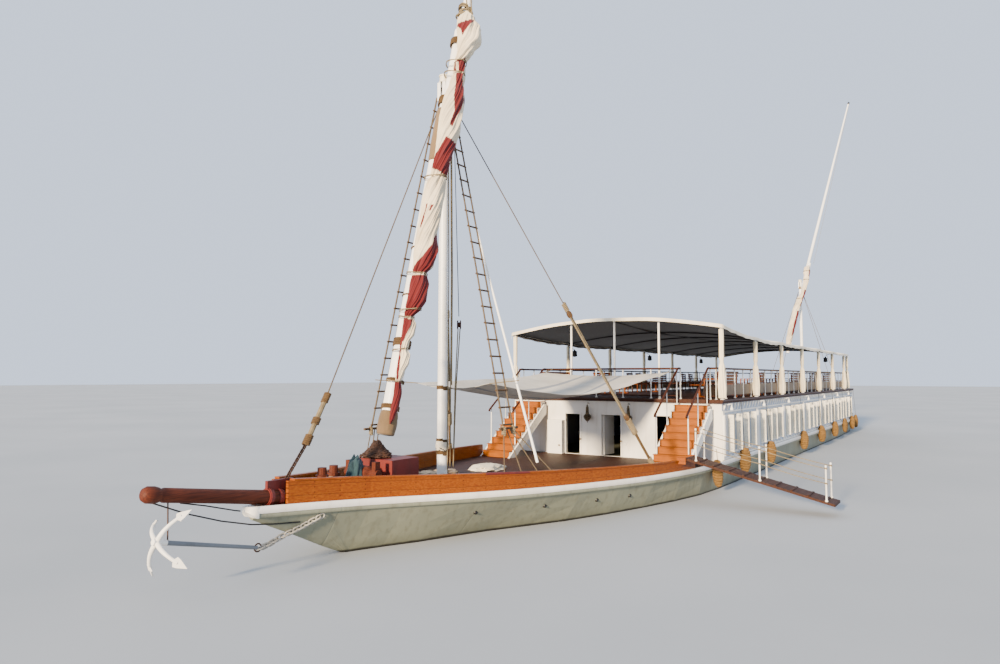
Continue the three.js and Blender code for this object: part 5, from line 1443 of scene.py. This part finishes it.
caps, rail_band = Form(), Form()
for side in (1, -1):
    caps.loft(rail_cap(13.4, 24.9, side, 0.0, 80))
    rail_band.loft(rail_cap(19.9, 21.0, side, 0.004, 10))
piece("bulwark_rail_cap", caps, planks, smooth=50)
piece("bulwark_rail_band", rail_band, red_oxide, smooth=50)

# Deckhouse: windows with their leaves standing open, frieze, pilasters and mouldings
HOUSE_FORE, HOUSE_AFT, HOUSE_HALF = 11.0, -17.4, 3.92
WINDOW = {"low": 1.09, "high": 2.28, "half": 0.475}
window_places = [HOUSE_FORE - bay * BAY - offset for bay in range(7) for offset in (1.15, 3.0)]
window_places = [x for x in window_places if x > HOUSE_AFT + 0.8]


def window_leaf():
    """A leaf hinged at its inner edge and standing straight out: a frame with slats."""
    form = Form()
    low, high = WINDOW["low"], WINDOW["high"]
    form.block((-0.016, 0, low), (0.016, 0.035, high)).block((-0.016, 0.155, low), (0.016, 0.19, high))
    for z in (low, (low + high) / 2 - 0.03, high - 0.06):
        form.block((-0.015, 0.034, z), (0.015, 0.156, z + 0.06))
    for k in range(22):
        z = low + 0.075 + (high - low - 0.15) * k / 21
        form.block((-0.010, 0.033, z), (0.010, 0.157, z + 0.042))
    return form


def frieze_bracket():
    profile = ((0.0, 2.43), (0.05, 2.56), (0.065, 2.65), (0.0, 2.65))
    return Form().loft([[(x, out, z) for out, z in profile] for x in (-0.035, 0.035)])


def off_wall(near, far):
    """Distances from the middle plane of a board that lies so far off the side walls."""
    return HOUSE_HALF + near, HOUSE_HALF + far


for name, side in SIDES.items():
    frames, panes, trims, frieze = Form(), Form(), Form(), Form()
    low, high = WINDOW["low"], WINDOW["high"]
    for x in window_places:
        fore, aft = x + WINDOW["half"], x - WINDOW["half"]
        for xs, zs in (((aft + 0.004, aft + 0.05), (low + 0.004, high - 0.004)),
                       ((fore - 0.05, fore - 0.004), (low + 0.004, high - 0.004)),
                       ((aft + 0.045, fore - 0.045), (high - 0.05, high - 0.004)),
                       ((aft + 0.045, fore - 0.045), (low + 0.004, low + 0.05)),
                       ((x - 0.02, x + 0.02), (low + 0.045, high - 0.045)),
                       ((aft + 0.045, fore - 0.045), (1.86, 1.89))):
            frames.slab(side, xs, off_wall(-0.075, -0.045), zs)
        panes.slab(side, (aft + 0.04, fore - 0.04), off_wall(-0.066, -0.058), (low + 0.04, high - 0.04))
        trims.slab(side, (aft - 0.05, fore + 0.05), off_wall(0.001, 0.05), (low - 0.055, low - 0.005))
    whole = (HOUSE_AFT + 0.01, HOUSE_FORE - 0.01)
    frieze.slab(side, whole, off_wall(0.0006, 0.012), (2.42, 2.66))
    trims.slab(side, whole, off_wall(0.0006, 0.035), (2.365, 2.415))
    trims.slab(side, whole, off_wall(0.0006, 0.03), (0.872, 0.932))
    for x in POSTS[:-1]:
        pilaster = min(x, HOUSE_FORE - 0.09)
        trims.turned((pilaster, side * (HOUSE_HALF + 0.021), 0.995), UP,
                     [(0, 0.06), (0.01, 0.064), (1.29, 0.064), (1.3, 0.06)], 20)
        for heights in ((0.873, 1.0), (2.29, 2.36)):
            trims.slab(side, (pilaster - 0.09, pilaster + 0.09), off_wall(0.0006, 0.045), heights)
    leaf, bracket = window_leaf(), frieze_bracket()
    if side < 0:
        leaf, bracket = mirrored(leaf), mirrored(bracket)
    leaves = []
    for offset in (WINDOW["half"] + 0.02, -WINDOW["half"] - 0.02):
        for row in (window_places[0::2], window_places[1::2]):
            ends = [(x + offset, side * (HOUSE_HALF + 0.003), 0) for x in (row[0], row[-1])]
            leaves.append((len(row), *ends))
    piece("window_frames_" + name, frames, cream, bevel=0.004)
    piece("window_glass_" + name, panes, glass)
    piece("window_leaves_" + name, rows_of("leaves", leaf, cream, leaves), cream)
    piece("house_trim_" + name, trims, white, bevel=0.006)
    piece("house_frieze_" + name, frieze, frieze_painted_shade)
    bracket_ends = [(x, side * (HOUSE_HALF + 0.0125), 0) for x in (HOUSE_FORE - 0.2, HOUSE_AFT + 0.2)]
    brackets = rows_of("brackets", bracket, white,
                       [(round((HOUSE_FORE - HOUSE_AFT) / 0.38), *bracket_ends)])
    piece("frieze_brackets_" + name, brackets, white)
    stud = Form().turned((0, 0, 0), (0, side, 0), [(0, 0.035), (0.03, 0.035), (0.045, 0.02)], 12)
    stud_ends = [(x, side * (HOUSE_HALF + 0.001), 0.96) for x in (10.7, -17.2)]
    piece("house_studs_" + name, rows_of("studs", stud, white, [(56, *stud_ends)]), white)
    arms, shades = Form(), Form()
    out = side * (HOUSE_HALF + 0.17)
    for bay in range(7):
        x = HOUSE_FORE - bay * BAY - 0.51
        arms.tube([(x + 0.16 * math.cos(t), side * (HOUSE_HALF + 0.02 + 0.15 * math.sin(t)),
                    2.60 + 0.04 * math.sin(t)) for t in round_turns(20)[:11]], 0.014, 8)
        arms.tube([(x, out, 2.64), (x, out, 2.56)], 0.010, 6)
        shades.turned((x, out, 2.44), UP, [(0, 0.045), (0.03, 0.055), (0.09, 0.03), (0.13, 0.018)], 14)
    piece("lamp_arms_" + name, arms, white)
    piece("lamp_shades_" + name, shades, white)

edge = Form()
for side in (1, -1):
    edge.slab(side, (-17.55, 11.1), (4.0005, 4.012), (2.735, 2.775))
edge.block((11.1505, -2.4, 2.745), (11.162, 2.4, 2.775))
piece("upper_deck_edge", edge, brown_strip)

# Front wall: door frames, a switch box, knobs, the locker's face and the pierced lanterns
# columns: edge to starboard, edge to port, sill, head
OPENINGS = [(-1.72, -1.15, 0.76, 2.18), (-0.29, 0.43, 0.76, 2.18), (1.70, 2.28, 0.80, 2.20)]
front = Form()
for low_y, high_y, sill, head in OPENINGS:
    for low, high in (((max(low_y - 0.07, -1.745), sill), (low_y - 0.003, head + 0.07)),
                      ((high_y + 0.003, sill), (high_y + 0.07, head + 0.07)),
                      ((low_y - 0.003, head + 0.003), (high_y + 0.003, head + 0.07))):
        front.block((11.0006, *low), (11.022, *high))
front.block((11.0006, 0.56, 1.14), (11.035, 0.66, 1.26))
piece("front_door_frames", front, white, bevel=0.004)
knobs = Form()
for place in ((11.2506, -1.84, 1.06), (11.022, 0.47, 1.3), (11.022, -1.1, 1.3)):
    knobs.turned(place, (1, 0, 0), [
        (0, 0.02), (0.02, 0.012), (0.04, 0.012), (0.055, 0.03), (0.075, 0.03), (0.085, 0.015)], 16)
piece("front_door_knobs", knobs, bronze)
locker_face = Form()
for low, high in (((-2.34, 0.8), (-1.75, 0.86)), ((-2.34, 1.87), (-1.75, 1.93)),
                  ((-2.34, 0.86), (-2.28, 1.87)), ((-1.81, 0.86), (-1.75, 1.87))):
    locker_face.block((11.2503, *low), (11.262, *high))
piece("locker_face", locker_face, white, bevel=0.003)


def lantern(y):
    """A pear of pierced brass: ribs and rings round a dark glass, with crown and finial."""
    x, low = 11.14, 1.92
    outline = [(0.02, 0.02), (0.06, 0.06), (0.11, 0.1), (0.16, 0.125), (0.21, 0.125), (0.25, 0.09),
               (0.29, 0.055), (0.4, 0.048), (0.53, 0.042)]
    form = Form()

    def around(turn, height, radius):
        return x + radius * math.cos(turn), y + radius * math.sin(turn), low + height

    for turn in round_turns(12):
        for twist, thick in ((0.3, 0.007), (-2.2, 0.005)):
            form.tube([around(turn + twist * h, h, r) for h, r in outline], thick, 6)
    for h, r in outline:
        form.tube([around(t, h, r) for t in round_turns(20)], 0.008, 6, joined=True)
    form.turned((x, y, low - 0.03), UP, [(0, 0.006), (0.02, 0.018), (0.035, 0.008), (0.06, 0.024)], 12)
    form.turned((x, y, low + 0.52), UP, [
        (0, 0.045), (0.03, 0.03), (0.06, 0.035), (0.08, 0.012), (0.11, 0.012)], 14)
    form.tube([(11.004, y, 2.55), (11.07, y, 2.6), (11.14, y, 2.575), (11.14, y, 2.545)], 0.009, 8)
    inner = Form().turned((x, y, low + 0.02), UP, [(h, max(r - 0.02, 0.005)) for h, r in outline], 16)
    return form, inner


for name, side in SIDES.items():
    ribs, inner = lantern(side * 0.78)
    piece("lantern_" + name, ribs, bronze, stands_for=("wall_lantern_" + name,))
    piece("lantern_glass_" + name, inner, glass, stands_for=("wall_lantern_" + name,))


# Upper deck: settees and chairs of slats, round tables, lamps, a basket and inner posts
def seat(form_wood, form_frame, x, y, long, facing):
    """A seat along x, its back towards the rail; facing is the way a sitter looks along y."""
    back = y - facing * 0.24
    for k in range(6):
        across = y - facing * (0.2 - 0.085 * k)
        form_wood.block((x - long / 2, across, 3.2), (x + long / 2, across + 0.06, 3.225))
    for k in range(4):
        height, lean = 3.33 + 0.11 * k, facing * 0.02 * k
        form_wood.beam((x - long / 2, back - lean, height), (x + long / 2, back - lean, height), 0.02, 0.095)
    for end in (-1, 1):
        at = x + end * (long / 2 - 0.04)
        for across, top in ((back, 3.7), (y + facing * 0.25, 3.42)):
            form_frame.block((at - 0.022, across - 0.022, DECK_TOP + 0.001),
                             (at + 0.022, across + 0.022, top))
        for half, front, low, high in ((0.025, 0.27, 3.42, 3.45), (0.018, 0.25, 3.14, 3.2)):
            near, far = sorted((back, y + facing * front))
            form_frame.block((at - half, near, low), (at + half, far, high))


seat_wood, seat_frames, lamps = Form(), Form(), Form()
for side in (1, -1):
    for x, long in ((8.6, 2.2), (4.9, 0.62), (3.9, 0.62), (1.3, 0.62), (0.2, 0.62), (-2.6, 2.0), (-6.4, 0.62),
                    (-7.6, 0.62), (-11.0, 2.0), (-13.0, 0.62)):
        seat(seat_wood, seat_frames, x, side * 3.2, long, -side)
for x in (8.4, 4.4, 0.7, -2.8, -7.0, -11.2):
    for side in (1, -1):
        seat_wood.turned((x, side * 2.35, 3.2), UP, [(0, 0.33), (0.03, 0.34), (0.04, 0.33)], 28)
        seat_frames.turned((x, side * 2.35, DECK_TOP + 0.001), UP, [
            (0, 0.2), (0.03, 0.19), (0.06, 0.04), (0.36, 0.035), (0.415, 0.12)], 20)
# The posts of the awning that carry a lamp, by side
LAMP_POSTS = {1: POSTS[5:6], -1: POSTS[1:-1:2]}
for side, places in LAMP_POSTS.items():
    for x in places:
        y = side * (POST_Y - 0.06)
        high = awning_edge(x) - 0.12
        arc = [(x + 0.05 + 0.2 * math.sin(math.pi * s), y - side * 0.28 * s, high - 0.15 * s ** 2)
               for s in [k / 8 for k in range(9)]]
        lamps.tube(arc, 0.012, 8)
        lamps.turned((arc[-1][0], arc[-1][1], high - 0.46), UP, [
            (0, 0.03), (0.03, 0.105), (0.06, 0.118), (0.19, 0.1), (0.23, 0.125), (0.26, 0.06),
            (0.32, 0.014)], 20)
piece("lounge_slats", seat_wood, teak, bevel=0.004)
piece("lounge_frames", seat_frames, teak, bevel=0.004)
piece("lounge_lamps", lamps, dark_iron)
weave = []
for layer in range(9):
    radius = 0.15 + 0.035 * math.sin(math.pi * layer / 8)
    weave.append(((10.62, 3.45, DECK_TOP + 0.04 + 0.052 * layer), UP, radius, 1))
wound("upper_deck_basket", weave, 0.026, dark_rope)
inner_posts = Form()
for y, top in ((0.16, 5.47), (1.8, 5.4), (-1.55, 5.41)):
    tall = top - DECK_TOP
    inner_posts.turned((10.86, y, DECK_TOP + 0.001), UP, [
        (0, 0.06), (0.02, 0.06), (0.03, 0.036), (tall - 0.03, 0.036), (tall, 0.045)], 14)
piece("awning_front_posts", inner_posts, white)
# The ribs are black so that they match the painted shade under the awning
ribs = Form()
for x in POSTS:
    low, crown = awning_edge(x) - 0.035, AWNING["crown"]
    ribs.tube([(x, 3.9 * t / 12, low + crown * (1 - (t / 12) ** 2)) for t in range(-12, 13)], 0.024, 8)
ribs.tube([(x, 0.0, awning_edge(x) - 0.035 + AWNING["crown"]) for x in POSTS], 0.024, 8)
piece("awning_ribs", ribs, dark_iron)

# Bow: log bowsprit with its knob, straps and rods
SPRIT_WAY = Vector((-0.988, 0, -0.1531)).normalized()
SPRIT_TIP = Vector((27.6, 0, 1.69))
sprit = Form().turned(SPRIT_TIP, SPRIT_WAY, [
    (0, 0.05), (0.03, 0.1), (0.09, 0.132), (0.2, 0.136), (0.27, 0.12), (0.31, 0.1), (0.36, 0.118),
    (0.8, 0.119), (1.5, 0.122), (2.2, 0.13), (2.93, 0.141)], 40)
piece("bowsprit_log", sprit, log_brown, stands_for=("bowsprit",), smooth=50)
straps = Form()
for distance in (2.31, 2.53):
    straps.turned(SPRIT_TIP + SPRIT_WAY * distance, SPRIT_WAY, [
        (0, 0.134), (0, 0.148), (0.02, 0.156), (0.06, 0.156), (0.08, 0.148), (0.08, 0.134)], 28)
piece("bowsprit_straps", straps, red_oxide)


def beside_hull(x, z, off=0.03):
    """A point just outside the port side of the hull, or on the middle plane ahead of the stem."""
    found = hull_face.meet((x, 9.0, z), (0, -1, 0))
    return Vector((x, max(found.y, 0.0) + off if found else 0.0, z))


rods = Form().tube([(27.4, 0, 1.53), (26.83, 0, 1.28), (26.2, 0, 1.06), (25.6, 0, 0.9)]
                   + [beside_hull(x, z, 0.013) for x, z in ((25.2, 0.85), (24.9, 0.83), (24.7, 0.82))],
                   0.013, 8)
rods.tube([(26.95, 0, 1.47), (26.5, 0, 1.36), (25.95, 0, 1.2), (25.83, 0, 1.17)], 0.012, 8)
piece("bowsprit_rods", rods, dark_iron)

# Grapnel: four arms with spade flukes round a shank, slung under the bowsprit and falling aft
crown, eye = Vector((27.32, 0, 0.92)), Vector((25.5, 0, 0.483))
shank_way = (eye - crown).normalized()
shank_up = Vector((0, 1, 0)).cross(shank_way)
FLUKE = [(0.0, -0.03), (0.03, -0.09), (0.09, -0.075), (0.24, 0.0), (0.09, 0.075), (0.03, 0.09), (0.0, 0.03)]
shank = Form().tube([crown, crown.lerp(eye, 0.5), eye + shank_way * 0.03], [0.04, 0.036, 0.034], 14)
piece("grapnel_shank", shank, shank_grey, stands_for=("anchor",))
grapnel = Form().tube([crown - shank_way * 0.07, crown, crown + shank_way * 0.16], [0.05, 0.058, 0.046], 14)
for quarter in range(4):
    turn = math.radians(61 + 90 * quarter)
    out = Vector((0, math.cos(turn), 0)) + shank_up * math.sin(turn)
    path = [crown + out * 0.5 * s + shank_way * (0.15 * s * s - 0.02 * math.sin(math.pi * s))
            for s in [k / 10 for k in range(11)]]
    grapnel.tube(path, [0.045 - 0.018 * k / 10 for k in range(11)], 12)
    palm_way = (out * 0.75 + shank_way * 0.66).normalized()
    side = palm_way.cross(out).normalized()
    face = side.cross(palm_way) * 0.012
    base = path[-1] - palm_way * 0.07
    grapnel.loft([[base + palm_way * u + side * v - face for u, v in FLUKE[::-1]],
                  [base + palm_way * u + side * v + face for u, v in FLUKE[::-1]]])
piece("grapnel", grapnel, white, stands_for=("anchor",), smooth=50)
ring_points = [eye + shank_way * (0.05 + 0.07 * math.cos(t)) + shank_up * 0.07 * math.sin(t)
               for t in round_turns(20)]
gear = Form().tube(ring_points, 0.014, 8, joined=True)
gear.tube([(27.145, 0, 0.905), (27.15, 0, 1.2), (27.16, 0, 1.515)], 0.012, 8)
piece("grapnel_ring", gear, rust, stands_for=("anchor",))
chain_path = [eye + shank_way * 0.12]
chain_path += [beside_hull(x, z) for x, z in ((25.2, 0.49), (24.95, 0.57), (24.65, 0.71), (24.36, 0.88))]
anchor_chain = on_path("anchor_chain", chain_path, chain_link(0.085, 0.045, 0.015), galvanised, 0.075)
piece("grapnel_chain", anchor_chain, galvanised, stands_for=("anchor",))


# Foredeck: heaps of cloth and chain, rope on the bitts, tarpaulins and a folded sail
def heap(name, middle, size, finish, seed, folds):
    """A crumpled heap of cloth lying on the deck."""
    base = middle[2] or fore_deck.top(middle[0], middle[1]) + 0.003
    rings = []
    for r in range(26):
        rise = r / 25
        shrink = math.cos(rise * math.pi / 2 * 0.97) ** 0.7
        ring = []
        for turn in round_turns(72):
            place = Vector((2.2 * math.cos(turn) * shrink, 2.2 * math.sin(turn) * shrink, rise * 2 + seed))
            crumple = 1 + folds * noise.noise(place) + 0.5 * folds * abs(noise.noise(place * 2.7))
            height = size[2] * math.sin(rise * math.pi / 2) * (1 + 0.5 * folds * noise.noise(place * 1.4))
            ring.append((middle[0] + size[0] * math.cos(turn) * shrink * crumple,
                         middle[1] + size[1] * math.sin(turn) * shrink * crumple, base + max(height, 0.0)))
        rings.append(ring)
    crumpled = piece(name, Form().loft(rings), finish, smooth=80)


heap("teal_cloth_heap", (23.08, -0.02, 0), (0.2, 0.2, 0.84), teal_cloth, 3.0, 0.35)
heap("dark_tarpaulin_heap", (19.7, -0.9, 0), (0.62, 0.4, 0.22), black_tarp, 8.0, 0.5)
heap("grey_tarpaulin_heap", (18.6, -1.3, 0), (0.5, 0.35, 0.16), matting, 15.0, 0.5)
heap("folded_cloth_heap", (16.6, -1.25, 0), (0.6, 0.42, 0.16), awning_cloth, 12.0, 0.3)
pile = []
draw = random.Random(5)
for k in range(260):
    share = k / 260
    turn = k * 0.55
    spread = 0.27 * (1 - share) + 0.04
    pile.append((22.28 + spread * math.cos(turn) * (1 + 0.2 * draw.uniform(-1, 1)),
                 -0.2 + spread * math.sin(turn) * (1 + 0.2 * draw.uniform(-1, 1)),
                 1.79 + 0.3 * share ** 1.2 + 0.02 * draw.uniform(-1, 1)))
piece("chain_heap", on_path("chain_heap", pile, link, rust, 0.075), rust)
heap("chain_heap_core", (22.28, -0.2, 1.7505), (0.24, 0.24, 0.22), rust, 21.0, 0.3)
wound("bitt_rope", [((23.5, -0.22, deck_height(23.5) + 0.28), UP, 0.092, 9),
                    ((24.0, 0, deck_height(24.0) + 0.2), UP, 0.092, 4)], 0.022, pale_rope)

# Gangway: stanchions and two rope handrails a side
GANG = {"aft": 13.5, "fore": 14.3, "y": 3.86, "z": 1.22, "reach": 3.8, "drop": 0.9, "thick": 0.032}
cords, gang_posts, knots = Form(), Form(), Form()
for x in (GANG["aft"] + 0.04, GANG["fore"] - 0.04):
    heads = []
    for out in (0.3, 2.0, 3.6):
        level = GANG["z"] - GANG["drop"] * out / GANG["reach"]
        foot = Vector((x, GANG["y"] + out, level + GANG["thick"]))
        gang_posts.turned(foot, UP, [
            (0, 0.035), (0.03, 0.035), (0.04, 0.021), (0.86, 0.021), (0.87, 0.028), (0.9, 0.02)], 12)
        heads.append(foot)
    for height in (0.45, 0.82):
        for start, end in zip(heads, heads[1:]):
            cords.tube(sagged(start + UP * height, end + UP * height, 0.025, 10), 0.010, 6)
        for foot in heads:
            knots.tube(coil(foot + UP * height, UP, 0.021, 2, 0.009), 0.009, 6)
piece("gangway_stanchions", gang_posts, white, "gangway")
piece("gangway_cords", cords, pale_rope, "gangway")
piece("gangway_knots", knots, pale_rope, "gangway")
